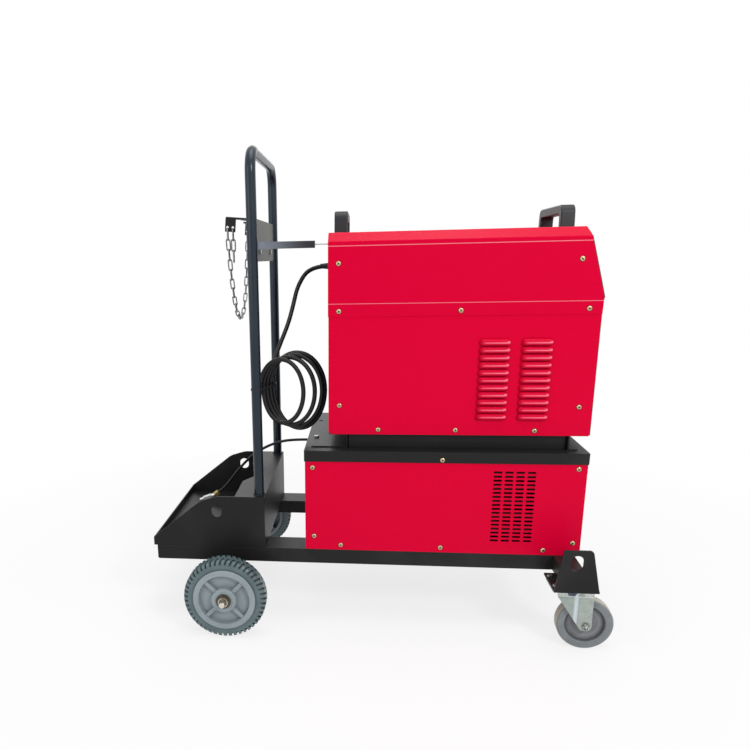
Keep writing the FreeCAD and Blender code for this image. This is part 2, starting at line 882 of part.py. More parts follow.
# Square arm welded to the near tube, with a thin stay rod on to the power source
def stay_arm():
    half = arm_size / 2
    start = cross_plate_rear_x + cross_plate_thickness + weld_gap
    arm = block(start, arm_end_x, -arm_y - half, -arm_y + half, arm_mid_z - half, arm_mid_z + half)
    bore = block(handle_x - 1, arm_end_x + 1, -arm_y - half + arm_wall, -arm_y + half - arm_wall,
                 arm_mid_z - half + arm_wall, arm_mid_z + half - arm_wall)
    cope = rod(V(handle_x, -handle_y, arm_mid_z - arm_size), UP, handle_radius + weld_gap, 2 * arm_size)
    arm = arm.cut([bore, cope])
    arm = max(arm.Solids, key=lambda solid: solid.Volume)
    cap = block(arm_end_x, arm_end_x + arm_cap_thickness, -arm_y - half, -arm_y + half,
                arm_mid_z - half, arm_mid_z + half)
    stay_start = arm_end_x + arm_cap_thickness
    stay_end = source_rear_x + 2 - seat_gap
    stay = rod(V(stay_start, -arm_y, arm_mid_z), AHEAD, stay_radius, stay_end - stay_start)
    add("stay_arm", group([arm, cap, stay]))


def rear_axle():
    housing_half = wheel_mid_y - hub_boss_half - 1
    tube = rod(V(0, -housing_half, axle_z), ACROSS, axle_tube_radius, 2 * housing_half)
    bore = rod(V(0, -housing_half - 1, axle_z), ACROSS, axle_radius + seat_gap, 2 * housing_half + 2)
    half = axle_bracket_half
    middle_y = rail_outer_y - rail_width / 2
    y0 = -middle_y - axle_bracket_thickness / 2
    y1 = -middle_y + axle_bracket_thickness / 2
    low = axle_z - axle_tube_radius - 6
    points = [(-half, rail_bottom_z), (-half * 0.9, low), (half * 0.9, low), (half, rail_bottom_z)]
    plate = plate_xz(points, y0, y1, [0, 14, 14, 0])
    housing = tube.multiFuse([plate, mirrored(plate)]).removeSplitter().cut(bore)
    add("axle_housing", housing)
    shaft = rod(V(0, -axle_half_length, axle_z), ACROSS, axle_radius, 2 * axle_half_length)
    shaft = shaft.makeChamfer(axle_end_chamfer, shaft.Edges[:1] + shaft.Edges[2:])
    washer = rod(V(0, -axle_face_y, axle_z), V(0, -1, 0), washer_radius, washer_thickness)
    collar = rod(V(0, -axle_face_y - washer_thickness, axle_z), V(0, -1, 0), collar_radius, collar_width)
    hole = rod(V(0, 0, axle_z), V(0, -1, 0), axle_radius + running_fit, axle_half_length + 1)
    pin_y = -axle_face_y - washer_thickness - collar_width - split_pin_reach
    pin = rod(V(0, pin_y, axle_z - axle_radius - 5), UP, split_pin_radius, 2 * axle_radius + 10)
    pin_hole = rod(V(0, pin_y, axle_z - axle_radius - 1), UP, split_pin_radius + running_fit,
                   2 * axle_radius + 2)
    shaft = shaft.cut(both_sides(pin_hole))
    near = [washer.cut(hole), collar.cut(hole), pin]
    add("rear_axle", group([shaft] + near + [mirrored(solid) for solid in near]))


# Hub: stepped rim, recessed web, four outer spokes and a centre boss, outer side towards -Y
def rear_hub():
    section = [(axle_radius + running_fit, -hub_boss_half), (hub_boss_radius - 1.5, -hub_boss_half),
               (hub_boss_radius, -hub_boss_half + 1.5), (hub_boss_radius + 1.5, -14),
                (hub_ring_inner - 2, -14),
               (hub_ring_inner, -hub_half_width), (hub_ring_radius - 1.5, -hub_half_width),
               (hub_ring_radius, -hub_half_width + 1.5), (hub_ring_radius, -tyre_seat_half),
               (hub_barrel_radius, -tyre_seat_half), (hub_barrel_radius, tyre_seat_half),
               (hub_ring_radius, tyre_seat_half), (hub_ring_radius, hub_half_width),
               (hub_ring_radius - 8, hub_half_width), (hub_ring_inner + 5, -9), (hub_boss_radius, -9),
               (hub_boss_radius - 2, hub_boss_half), (axle_radius + running_fit, hub_boss_half)]
    hub = turned(section, 0, 0, 0)
    ribs = []
    for n in range(hub_spokes):
        half = spoke_width / 2
        rib = block(hub_boss_radius - 2, hub_ring_inner + 1, -hub_half_width + 3, -13, -half, half)
        back = block(hub_boss_radius - 2, hub_ring_inner + 6, -10, hub_half_width - 8, -half / 2, half / 2)
        for piece in (rib, back):
            piece.rotate(V(0, 0, 0), ACROSS, 45 + 360 * n / hub_spokes)
            ribs.append(piece)
    return hub.multiFuse(ribs).removeSplitter()


# Tyre: rounded shoulders with slanted lug grooves cut across each half of the tread
def rear_tyre():
    half = tyre_half_width
    seat = hub_barrel_radius + running_fit
    lip = hub_ring_radius + running_fit
    seat_half = tyre_seat_half - running_fit
    section = [(seat, -seat_half), (lip, -seat_half), (lip + tyre_bead, -half), (wheel_radius, -half),
               (wheel_radius, half), (lip + tyre_bead, half), (lip, seat_half), (seat, seat_half)]
    tyre = turned(section, 0, 0, 0, [0, 0, 3, tyre_shoulder, tyre_shoulder, 3, 0, 0])
    grooves = []
    bottom = wheel_radius - lug_groove_depth
    for n in range(tyre_lugs):
        for side in (-1, 1):
            start = half - lug_groove_reach
            groove = block(-lug_groove_width / 2, lug_groove_width / 2, start, half + 3,
                           bottom, wheel_radius + 12)
            groove.rotate(V(0, start, bottom), AHEAD, -lug_groove_tilt)
            groove.rotate(V(0, start, 0), UP, lug_slant)
            if side < 0:
                groove = mirrored(groove)
            step = n + (0.5 if side > 0 else 0)
            groove.rotate(V(0, 0, 0), ACROSS, 360 * step / tyre_lugs)
            grooves.append(groove)
    return tyre.cut(grooves)


def rear_wheels():
    hub = rear_hub()
    tyre = rear_tyre()
    for name, shape in (("rear_hub", hub), ("rear_tyre", tyre)):
        near = shape.copy()
        near.translate(V(0, -wheel_mid_y, axle_z))
        add(name + "_near", near)
        add(name + "_far", mirrored(near))


# Caster pieces are made with the swivel axis at the origin and the wheel trailing towards +X
def caster_mount():
    half_l = caster_plate_length / 2
    half_w = caster_plate_width / 2
    plate = plate_xy([(-half_l, -half_w), (half_l, -half_w), (half_l, half_w), (-half_l, half_w)],
                     caster_plate_low_z, bracket_low_z, 6)
    drill = [rod(V(x, y, caster_plate_low_z - 1), UP, bolt_radius + weld_gap, caster_plate_thickness + 2)
             for x in (-caster_bolt_x, caster_bolt_x) for y in (-caster_bolt_y, caster_bolt_y)]
    race = rod(V(0, 0, caster_plate_low_z - caster_race_height), UP, caster_race_radius, caster_race_height)
    fork_top = fork_top_z()
    pin_low = fork_top - fork_plate_thickness - swivel_gap
    pin = rod(V(0, 0, pin_low), UP, kingpin_radius, caster_plate_low_z - caster_race_height - pin_low)
    nut = hexagon(V(0, 0, pin_low - 6), UP, 11, 6)
    return plate.cut(drill).multiFuse([race, pin, nut]).removeSplitter()


def fork_top_z():
    return caster_plate_low_z - caster_race_height - swivel_gap


def caster_fork():
    top = fork_top_z()
    inner = fork_inner_half
    outer = inner + fork_sheet
    nose = caster_trail + 12.5
    low = caster_wheel_radius - 12.5
    points = [(-fork_rear_reach, top), (nose, top), (nose, low), (caster_trail - 11, low),
              (-fork_rear_reach, top - 14)]
    leg = plate_xz(points, -outer, -inner, [2, 4, 11.5, 11, 5])
    bridge = block(-fork_rear_reach + 2, nose - 4, -inner, inner, top - fork_plate_thickness, top)
    bore = rod(V(0, 0, top - 10), UP, kingpin_radius + running_fit, 20)
    axle_hole = rod(V(caster_trail, -outer - 1, caster_wheel_radius), ACROSS, caster_axle_radius,
                    2 * outer + 2)
    crease_low = V(caster_trail - fork_crease_reach, -outer + fork_crease_depth, caster_wheel_radius + 14)
    crease = rod(crease_low, UP, fork_crease_radius, top - 8 - crease_low.z)
    inside = block(-fork_rear_reach, nose, -inner - 1, inner, low, top)
    leg = leg.fuse(crease.cut(inside)).removeSplitter()
    fork = bridge.multiFuse([leg, mirrored(leg)]).removeSplitter().cut([bore, axle_hole])
    axle = rod(V(caster_trail, -outer, caster_wheel_radius), ACROSS, caster_axle_radius, 2 * outer)
    head = hexagon(V(caster_trail, -outer, caster_wheel_radius), V(0, -1, 0), 9.5, 5)
    nut = hexagon(V(caster_trail, outer, caster_wheel_radius), ACROSS, 9.5, 6)
    return group([fork, axle.multiFuse([head, nut]).removeSplitter()])


def caster_wheel():
    half = caster_wheel_half
    bore = caster_axle_radius + running_fit
    rim = caster_rim_radius
    rim_section = [(bore, -caster_boss_half), (caster_boss_radius, -caster_boss_half),
                   (caster_boss_radius + 2, -6), (rim - 5, -6), (rim, -half + 3), (rim, half - 3),
                   (rim - 5, 6), (caster_boss_radius + 2, 6),
                   (caster_boss_radius, caster_boss_half), (bore, caster_boss_half)]
    outer = caster_wheel_radius
    tread_section = [(rim, -half + 3), (rim + 2, -half + 1), (outer - 4, -half), (outer, -half + 5),
                     (outer, half - 5), (outer - 4, half), (rim + 2, half - 1), (rim, half - 3)]
    place = (caster_trail, 0, caster_wheel_radius)
    return group([turned(rim_section, *place), turned(tread_section, *place)])


def casters():
    mounts = []
    sides = (("near", -1, caster_turn_near), ("far", 1, caster_turn_far))
    for name, side, turn in sides:
        where = V(caster_x, side * caster_y, 0)
        mount = caster_mount()
        mount.translate(where)
        mounts.append(mount)
        for part, shape in (("fork", caster_fork()), ("wheel", caster_wheel())):
            shape.rotate(V(0, 0, 0), UP, -turn)
            shape.translate(where)
            add("caster_" + part + "_" + name, shape)
    add("caster_mounts", group(mounts))


# Bolts of the casters and the yoke, and the screw that holds the units together
def cart_bolts():
    bolts = []
    drop = bracket_thickness + caster_plate_thickness
    for x, y in caster_bolt_spots():
        head = hexagon(V(x, y, rail_bottom_z), UP, bolt_head_radius, bolt_head_height)
        shank = rod(V(x, y, rail_bottom_z - drop), UP, bolt_radius, drop)
        nut = hexagon(V(x, y, caster_plate_low_z), V(0, 0, -1), bolt_head_radius, 4)
        bolts.append(head.multiFuse([shank, nut]).removeSplitter())
    for y in (-yoke_bolt_y, yoke_bolt_y):
        front = cross_plate_rear_x + cross_plate_thickness
        rear = cross_plate_rear_x - yoke_thickness
        head = hexagon(V(front, y, yoke_bolt_z), AHEAD, bolt_head_radius, bolt_head_height)
        shank = rod(V(rear, y, yoke_bolt_z), AHEAD, bolt_radius, front - rear)
        nut = hexagon(V(rear, y, yoke_bolt_z), V(-1, 0, 0), bolt_head_radius, bolt_head_height)
        bolts.append(head.multiFuse([shank, nut]).removeSplitter())
    foot_top = lid_top_z + unit_bracket_thickness
    spare_spot = V(bracket_hole_x, -bracket_hole_y, foot_top)
    bolts.append(hexagon(spare_spot, UP, bolt_head_radius, bolt_head_height))
    add("cart_bolts", group(bolts))


def cooler_slots(y0, y1):
    cutters = []
    half_l = slot_length / 2
    half_h = slot_height / 2
    for column in range(slot_columns):
        for row in range(slot_rows):
            x = slot_rear_x + column * slot_column_pitch
            z = slot_top_z - row * slot_row_pitch
            corners = [(x - half_l, z - half_h), (x + half_l, z - half_h), (x + half_l, z + half_h),
                       (x - half_l, z + half_h)]
            cutters.append(plate_xz(corners, y0, y1, slot_corner))
    return cutters


def cooler_base():
    rear = cooler_panel_rear_x
    front = cooler_panel_front_x
    half = cooler_panel_half
    floor = block(rear, front, -half, half, rail_top_z, cooler_floor_z)
    lip_inset = cooler_sheet + seat_gap
    lip = block(rear + lip_inset, front - lip_inset, -half, -half + cooler_base_sheet,
                rail_top_z, rail_top_z + cooler_base_lip)
    add("cooler_base", floor.multiFuse(both_sides(lip)).removeSplitter())


# Side sheet, folded in along its rear and front edge
def cooler_side():
    low = rail_top_z + weld_gap
    corners = [(cooler_rear_x, low), (cooler_front_x, low), (cooler_front_x, cooler_side_top_z),
               (cooler_rear_x, cooler_side_top_z)]
    side = plate_xz(corners, -cooler_half_width, -cooler_inner_half, [side_low_corner, side_low_corner, 0, 0])
    fold_low = low + cooler_base_lip / 2
    folds = [block(x, x + cooler_sheet, -cooler_half_width, -cooler_half_width + cooler_fold,
                   fold_low, cooler_side_top_z)
             for x in (cooler_rear_x, cooler_front_x - cooler_sheet)]
    side = side.multiFuse(folds).removeSplitter()
    side = side.cut(cooler_slots(-cooler_half_width - 1, -cooler_inner_half + 1))
    add("cooler_side_near", side)
    add("cooler_side_far", mirrored(side))


# Rear panel with the bulkhead fitting that the gas hose comes out of
def cooler_rear_panel():
    x = cooler_panel_rear_x
    spot = V(x, hose_start_y, hose_start_z)
    half = cooler_panel_half
    panel = block(x, x + cooler_sheet, -half, half, cooler_panel_low_z, cooler_side_top_z)
    panel = panel.cut(hole_ahead(spot, bulkhead_stem_radius + weld_gap))
    nut = hexagon(spot, V(-1, 0, 0), bulkhead_nut_radius, bulkhead_nut_length)
    neck = rod(spot - AHEAD * bulkhead_nut_length, V(-1, 0, 0), bulkhead_neck_radius,
               bulkhead_length - bulkhead_nut_length)
    stem = rod(spot, AHEAD, bulkhead_stem_radius, cooler_sheet + bulkhead_stem_inside)
    add("cooler_rear_panel", group([panel, nut.multiFuse([neck, stem]).removeSplitter()]))


# Front panel with its filler, coupling and switch holes, a level window and the switch's bezel
def cooler_front_panel():
    x = cooler_panel_front_x
    half = cooler_panel_half
    front = block(x - cooler_sheet, x, -half, half, cooler_panel_low_z, cooler_side_top_z)
    holes = [hole_ahead(V(x, filler_y, filler_z), filler_neck_radius + seat_gap)]
    holes += [hole_ahead(V(x, y, coupling_z), coupling_stem_radius + weld_gap) for y in coupling_ys]
    window = window_block(x - through, x + through, 0)
    rocker_hole = rocker_block(x - through, x + through, 0)
    glass = window_block(x - cooler_sheet, x - seat_gap, weld_gap)
    bezel = rocker_block(x, x + rocker_bezel_depth, rocker_bezel_rim).cut(rocker_hole)
    add("cooler_front_panel", group([front.cut(holes + [window, rocker_hole]), bezel, glass]))


def window_block(x0, x1, gap):
    half_w = window_half_width - gap
    half_h = window_half_height - gap
    return block(x0, x1, window_y - half_w, window_y + half_w, window_z - half_h, window_z + half_h)


def rocker_block(x0, x1, rim):
    half_w = rocker_hole_half_width + rim
    half_h = rocker_hole_half_height + rim
    return block(x0, x1, rocker_y - half_w, rocker_y + half_w, rocker_z - half_h, rocker_z + half_h)


def cooler_switch():
    x = cooler_panel_front_x
    section = [(x - 4, rocker_z - 10), (x + 1, rocker_z - 10), (x + 3.5, rocker_z), (x + 5, rocker_z + 9),
               (x - 4, rocker_z + 10)]
    rocker = plate_xz(section, rocker_y - rocker_half_width, rocker_y + rocker_half_width, [0, 0, 6, 1, 0])
    add("cooler_switch", rocker)


def cooler_lid():
    sheet = cooler_sheet
    half = cooler_half_width + weld_gap + sheet
    rear = cooler_rear_x - weld_gap - sheet
    front = cooler_front_x + weld_gap + sheet
    outer = block(rear, front, -half, half, lid_skirt_z, lid_top_z)
    hollow = block(rear + sheet, front - sheet, -half + sheet, half - sheet,
                   lid_skirt_z - 1, lid_top_z - sheet)
    lid = outer.cut(hollow)
    upright_edges = [edge for edge in lid.Edges
                     if abs(edge.Length - lid_skirt) < 0.01 and abs(edge.tangentAt(0).z) > 0.9]
    lid = lid.makeFillet(lid_corner, upright_edges)
    slot = block(lid_slot_x - lid_slot_half_width, lid_slot_x + lid_slot_half_width,
                 -lid_slot_half_length, lid_slot_half_length, lid_top_z - 5, lid_top_z + 1)
    lid = lid.cut([slot.translated(ACROSS * -lid_slot_y), slot.translated(ACROSS * lid_slot_y)])
    add("cooler_lid", lid)


# Tank behind the front panel, its filler neck through the panel
def coolant_tank():
    front = cooler_panel_front_x - cooler_sheet - tank_gap
    tank = block(front - tank_depth, front, tank_near_y, tank_far_y, cooler_floor_z, tank_top_z)
    edges = [edge for edge in tank.Edges if abs(edge.tangentAt(0).z) > 0.9]
    tank = tank.makeFillet(tank_corner, edges)
    root = V(front - filler_neck_wall, filler_y, filler_z)
    tip_x = cooler_panel_front_x + filler_neck_reach
    neck = rod(root, AHEAD, filler_neck_radius, tip_x - root.x)
    bore = rod(root, AHEAD, filler_neck_radius - filler_neck_wall, tip_x - root.x + through)
    add("coolant_tank", tank.fuse(neck).removeSplitter().cut(bore))


def filler_cap():
    x = cooler_panel_front_x + filler_neck_reach + seat_gap
    cap = rod(V(x, filler_y, filler_z), AHEAD, cap_radius, cap_length)
    grips = []
    for n in range(cap_grips):
        angle = 2 * math.pi * n / cap_grips
        spot = V(x - 1, filler_y, filler_z)
        spot += V(0, math.cos(angle), math.sin(angle)) * cap_grip_circle
        grips.append(rod(spot, AHEAD, cap_grip_radius, cap_length + 2))
    add("filler_cap", cap.cut(grips))


def coolant_pump():
    axis_z = cooler_floor_z + pump_axis_rise
    motor = rod(V(pump_motor_x, pump_y, axis_z), AHEAD, pump_motor_radius, pump_motor_length)
    foot_rear = pump_motor_x + (pump_motor_length - pump_foot_length) / 2
    foot = block(foot_rear, foot_rear + pump_foot_length, pump_y - pump_foot_half, pump_y + pump_foot_half,
                 cooler_floor_z, cooler_floor_z + pump_foot_height)
    head_x = pump_motor_x + pump_motor_length
    head = rod(V(head_x, pump_y, axis_z), AHEAD, pump_head_radius, pump_head_length)
    outlet = rod(V(head_x + 23, pump_y, axis_z), UP, pump_port_radius, pump_outlet_length)
    inlet = rod(V(head_x + 35, pump_y, axis_z), AHEAD, pump_port_radius, pump_inlet_length)
    add("coolant_pump", motor.multiFuse([foot, head, outlet, inlet]).removeSplitter())


# Radiator behind the near side's slots, with the shroud and motor of its fan
def radiator():
    near_y = -cooler_inner_half + radiator_inset
    far_y = near_y + radiator_depth
    rear = slot_middle_x - radiator_half_length
    front = slot_middle_x + radiator_half_length
    low = radiator_z - radiator_half_height
    high = radiator_z + radiator_half_height
    fins = [block(rear, front, near_y, far_y, low + radiator_fin_pitch * n,
                  low + radiator_fin_pitch * n + radiator_fin_thickness) for n in range(radiator_fins)]
    headers = [block(rear - radiator_header, rear + 0.5, near_y, far_y, cooler_floor_z, high),
               block(front - 0.5, front + radiator_header, near_y, far_y, cooler_floor_z, high)]
    core = fins[0].multiFuse(fins[1:] + headers).removeSplitter()
    ring = rod(V(slot_middle_x, far_y, radiator_z), ACROSS, shroud_radius, shroud_depth)
    ring = ring.cut(rod(V(slot_middle_x, far_y - 6, radiator_z), ACROSS, shroud_bore_radius,
                        shroud_depth + 18))
    bar_half = shroud_bore_radius + 1
    bar_y = far_y + radiator_depth
    bar = block(slot_middle_x - bar_half, slot_middle_x + bar_half, bar_y, bar_y + shroud_bar_depth,
                radiator_z - shroud_bar_half, radiator_z + shroud_bar_half)
    motor = rod(V(slot_middle_x, near_y + shroud_motor_start, radiator_z), ACROSS, shroud_motor_radius,
                shroud_motor_length)
    shaft_hole = rod(V(slot_middle_x, near_y + shroud_motor_start - 10, radiator_z), ACROSS,
                     fan_shaft_radius + running_fit, 20)
    shroud = ring.multiFuse([bar, motor]).removeSplitter().cut(shaft_hole)
    add("radiator", group([core, shroud]))


def cooler_fan():
    rotor = fan_rotor(cooler_rotor_radius, cooler_rotor_hub)
    rotor.rotate(V(0, 0, 0), AHEAD, -90)
    rotor.translate(V(slot_middle_x, -cooler_inner_half + radiator_inset + cooler_rotor_start, radiator_z))
    add("cooler_fan_rotor", rotor)


# Axial fan rotor on the Z axis: a cup, a stub shaft upwards and flat twisted blades
def fan_rotor(radius, hub_radius):
    cup = rod(V(0, 0, 0), UP, hub_radius, fan_cup_depth)
    shaft = rod(V(0, 0, fan_cup_depth), UP, fan_shaft_radius, fan_shaft_length)
    chord = fan_blade_half_chord
    half = fan_blade_half_thickness
    blades = []
    for n in range(fan_blades):
        blade = block(hub_radius - 2, radius, -chord, chord, -half, half)
        blade.rotate(V(0, 0, 0), AHEAD, fan_blade_pitch)
        blade.translate(V(0, 0, fan_cup_depth / 2))
        blade.rotate(V(0, 0, 0), UP, 360 * n / fan_blades)
        blades.append(blade)
    return cup.multiFuse([shaft] + blades).removeSplitter()


# Angle brackets that hold the power source on the lid, front and rear
def unit_brackets():
    sheet = unit_bracket_thickness
    foot_top = lid_top_z + sheet
    upright_top = foot_top + upstand_height
    rear_end = skid_rear_x - sheet
    foot = block(rear_foot_x, rear_end, -rear_foot_half, rear_foot_half, lid_top_z, foot_top)
    upright = block(rear_end - sheet, rear_end, -rear_foot_half, rear_foot_half, lid_top_z, upright_top)
    hole = rod(V(bracket_hole_x, bracket_hole_y, lid_top_z - 1), UP, bracket_hole_radius, sheet + 2)
    rear = foot.fuse(upright).removeSplitter().cut(hole)
    front_start = skid_front_x + sheet
    foot = block(front_start, front_foot_x, -front_foot_half, front_foot_half, lid_top_z, foot_top)
    upright = block(front_start, front_start + sheet, -front_foot_half, front_foot_half,
                    lid_top_z, upright_top)
    add("unit_brackets", group([rear, foot.fuse(upright).removeSplitter()]))


# A rounded bulge on the plane y = 0: one section run along X, with a half dome at each end
def bulge(length, depth, height, bend):
    points = [(0, 0), (-depth, 0), (-depth, louvre_lip_height), (0, height)]
    radii = [0, 0, bend, 0]
    run = length / 2 - depth
    prism = plate_yz(points, -run, run, radii)
    section = Part.Face(outline([V(y, 0, z) for y, z in points], radii))
    dome = section.revolve(V(0, 0, 0), UP, 180)
    return prism.multiFuse([dome.translated(AHEAD * x) for x in (-run, run)]).removeSplitter()


# Pressed-out louvres: rounded hoods of thin sheet with closed ends, open downwards
def louvres(y_face):
    outer = bulge(louvre_length, louvre_depth, louvre_height, louvre_bend)
    inner = bulge(louvre_length - 2 * louvre_sheet, louvre_depth - louvre_sheet, louvre_height - louvre_rim,
                  louvre_bend - louvre_sheet)
    hood = outer.cut(inner)
    run = louvre_length / 2 - louvre_depth
    opening = block(-run, run, -1, source_sheet + 1, 0, louvre_height - louvre_rim)
    hoods = []
    slots = []
    for centre_x in louvre_columns:
        for row in range(louvre_rows):
            place = V(centre_x, y_face, louvre_top_z - row * louvre_pitch - louvre_height / 2)
            hoods.append(hood.translated(place))
            slots.append(opening.translated(place))
    return hoods, slots


def source_side():
    y_out = -source_half_width + source_sheet + weld_gap
    y_in = y_out + source_sheet
    corners = [(source_rear_x + 1, source_bottom_z + 1), (source_front_x - 1, source_bottom_z + 1),
               (source_front_x - 1, hood_low_z + hood_lap), (source_rear_x + 1, hood_low_z + hood_lap)]
    side = plate_xz(corners, y_out, y_in, [side_rear_corner, side_front_corner, 0, 0])
    hoods, slots = louvres(y_out)
    side = side.cut(slots).multiFuse(hoods).removeSplitter()
    add("source_side_near", side)
    add("source_side_far", mirrored(side))


def hood_profile(inset, low):
    return [(-source_half_width + inset, low), (source_half_width - inset, low),
            (source_half_width - inset, knee_z), (fold_half_width - inset, fold_z - inset / 2),
            (top_half_width - inset / 2, source_top_z - inset),
            (-top_half_width + inset / 2, source_top_z - inset),
            (-fold_half_width + inset, fold_z - inset / 2), (-source_half_width + inset, knee_z)]


def source_hood():
    radii = [0, 0, fold_radius, fold_radius, top_corner_radius, top_corner_radius, fold_radius, fold_radius]
    outer = plate_yz(hood_profile(0, hood_low_z), source_rear_x, knee_x + 1, radii)
    inner_radii = [max(0, radius - source_sheet) for radius in radii]
    inner = plate_yz(hood_profile(source_sheet, hood_low_z - 1), source_rear_x - 1, knee_x + 2, inner_radii)
    low = hood_low_z - 2
    high = source_top_z + 2
    corners = [(source_rear_x, low), (source_front_x, low), (knee_x, knee_z), (brow_x, source_top_z - 4),
               (brow_x - 1.5, high), (source_rear_x, high)]
    side_view = plate_xz(corners, -source_half_width - 5, source_half_width + 5, 0)
    add("source_hood", outer.cut(inner).common(side_view))


def source_base():
    sheet = cooler_base_sheet
    half = source_panel_half
    rear = rear_panel_x + source_sheet + seat_gap
    front = source_front_inner_x
    floor = block(rear, front, -half, half, source_bottom_z, source_bottom_z + sheet)
    lip = block(rear, front, -half, -half + sheet, source_bottom_z, source_bottom_z + source_base_lip)
    tray = floor.multiFuse(both_sides(lip)).removeSplitter()
    inner_y = skid_outer_y - skid_width
    skid = block(skid_rear_x, skid_front_x, -skid_outer_y, -inner_y, lid_top_z, source_bottom_z)
    groove = block(skid_rear_x - 1, skid_front_x + 1, -skid_outer_y + skid_wall, -inner_y - skid_wall,
                   lid_top_z + skid_wall, source_bottom_z + 1)
    add("source_base", group([tray] + both_sides(skid.cut(groove))))


def slope_frame():
    foot = V(knee_x + panel_proud, 0, knee_z + 0.5)
    head = V(brow_x + panel_proud, 0, source_top_z - 6)
    along = (head - foot).normalize()
    normal = ACROSS.cross(along)
    return foot, along, normal


# A placement on the sloped panel: local Z points out of the panel and local X up the slope
def on_slope(y, distance, lift):
    foot, along, normal = slope_frame()
    place = foot + along * distance + normal * lift + V(0, y, 0)
    return FreeCAD.Placement(place, FreeCAD.Rotation(along, normal.cross(along), normal, "ZXY"))


def hole_on_slope(y, distance, radius):
    hole = rod(V(0, 0, -through), UP, radius, 2 * through)
    hole.Placement = on_slope(y, distance, 0)
    return hole


# Front panel folded to the hood's outline, its sloped part with the display and the toggle's collar
def source_front_panel():
    foot, along, normal = slope_frame()
    low = source_panel_low_z
    outer_x = source_face_x
    inner_x = outer_x - panel_thickness
    head = foot + along * slope_length
    lip_x = head.x - panel_lip
    lip_z = source_top_z - source_sheet - seat_gap
    bend_z = knee_z - panel_bend_drop
    points = [(outer_x, low), (outer_x, bend_z), (foot.x, foot.z), (head.x, head.z), (lip_x, lip_z),
              (lip_x, lip_z - panel_thickness), (head.x - panel_thickness - 1.5, head.z - 1.5),
              (foot.x - panel_thickness, foot.z - 1), (inner_x, bend_z), (inner_x, low)]
    panel = plate_xz(points, -source_half_width, source_half_width, 0)
    x0 = brow_x - 2 * through
    x1 = knee_x + 2 * through
    under_hood = plate_yz(hood_profile(source_sheet + 3 * seat_gap, low - 5), x0, x1, 0)
    between_sides = block(x0, x1, -source_panel_half, source_panel_half, low - 1, source_top_z)
    panel = panel.common(under_hood).common(between_sides)
    holes = [hole_ahead(V(outer_x, spec["y"], spec["z"]), spec["hole"])
             for spec in (torch_socket, work_socket, control_socket)]
    holes.append(hole_on_slope(knob_y, knob_rise, knob_shaft_radius + 2 * running_fit))
    holes.append(hole_on_slope(toggle_y, toggle_rise, toggle_hole_radius))
    panel = panel.cut(holes)
    display = block(-display_half_height, display_half_height, -display_half_width, display_half_width,
                    0, display_thickness)
    display.Placement = on_slope(display_y, display_rise, 0)
    seat = math.hypot(toggle_barrel_radius, toggle_barrel_half) + seat_gap
    collar = rod(V(0, 0, 0), UP, toggle_collar_radius, toggle_collar_height)
    collar = collar.cut(rod(V(0, 0, -1), UP, seat, toggle_collar_height + 2))
    collar.Placement = on_slope(toggle_y, toggle_rise, 0)
    add("source_front_panel", group([panel, display, collar]))


def current_knob():
    knob = rod(V(0, 0, seat_gap), UP, knob_radius, knob_length)
    grips = []
    for n in range(knob_grips):
        angle = 2 * math.pi * n / knob_grips
        spot = V(knob_grip_circle * math.cos(angle), knob_grip_circle * math.sin(angle), knob_grip_start)
        grips.append(rod(spot, UP, knob_grip_radius, knob_length))
    shaft = rod(V(0, 0, -knob_shaft_inside), UP, knob_shaft_radius, knob_shaft_inside + 3)
    knob = knob.cut(grips).fuse(shaft).removeSplitter()
    knob.Placement = on_slope(knob_y, knob_rise, 0)
    add("current_knob", knob)


def mode_switch():
    lever = Part.makeCone(toggle_root_radius, toggle_tip_radius, toggle_length, V(0, 0, 1), UP)
    barrel = rod(V(0, -toggle_barrel_half, 0), ACROSS, toggle_barrel_radius, 2 * toggle_barrel_half)
    lever = lever.fuse(barrel).removeSplitter()
    lever.rotate(V(0, 0, 0), ACROSS, toggle_rest_angle)
    lever.Placement = on_slope(toggle_y, toggle_rise, 1).multiply(lever.Placement)
    add("mode_switch", lever)


# A socket out of the upright front face, with its blind bore
def front_socket(spec):
    face = V(source_face_x, spec["y"], spec["z"])
    radius, length = spec["flange"]
    flange = rod(face, AHEAD, radius, length)
    parts = []
    if "barrel" in spec:
        parts.append(rod(face + AHEAD * length, AHEAD, *spec["barrel"]))
    radius, length = spec["stem"]
    parts.append(rod(face - AHEAD * length, AHEAD, radius, length + 1))
    radius, depth = spec["bore"]
    bore = rod(face - AHEAD * depth, AHEAD, radius, 4 * through)
    return flange.multiFuse(parts).cut(bore).removeSplitter()


def coolant_coupling(y):
    face = V(cooler_panel_front_x, y, coupling_z)
    nut = hexagon(face, AHEAD, coupling_nut_radius, coupling_nut_length)
    barrel = rod(face + AHEAD * coupling_nut_length, AHEAD, coupling_barrel_radius, coupling_barrel_length)
    stem_length = cooler_sheet + coupling_stem_inside
    stem = rod(face - AHEAD * stem_length, AHEAD, coupling_stem_radius, stem_length + 1)
    bore = rod(face + AHEAD * coupling_bore_start, AHEAD, coupling_bore_radius, 3 * through)
    return nut.multiFuse([barrel, stem]).removeSplitter().cut(bore)


# Sockets on both front panels: torch, work lead, control plug and the two coolant couplings
def panel_sockets():
    sockets = [front_socket(spec) for spec in (torch_socket, work_socket, control_socket)]
    sockets += [coolant_coupling(y) for y in coupling_ys]
    add("panel_sockets", group(sockets))


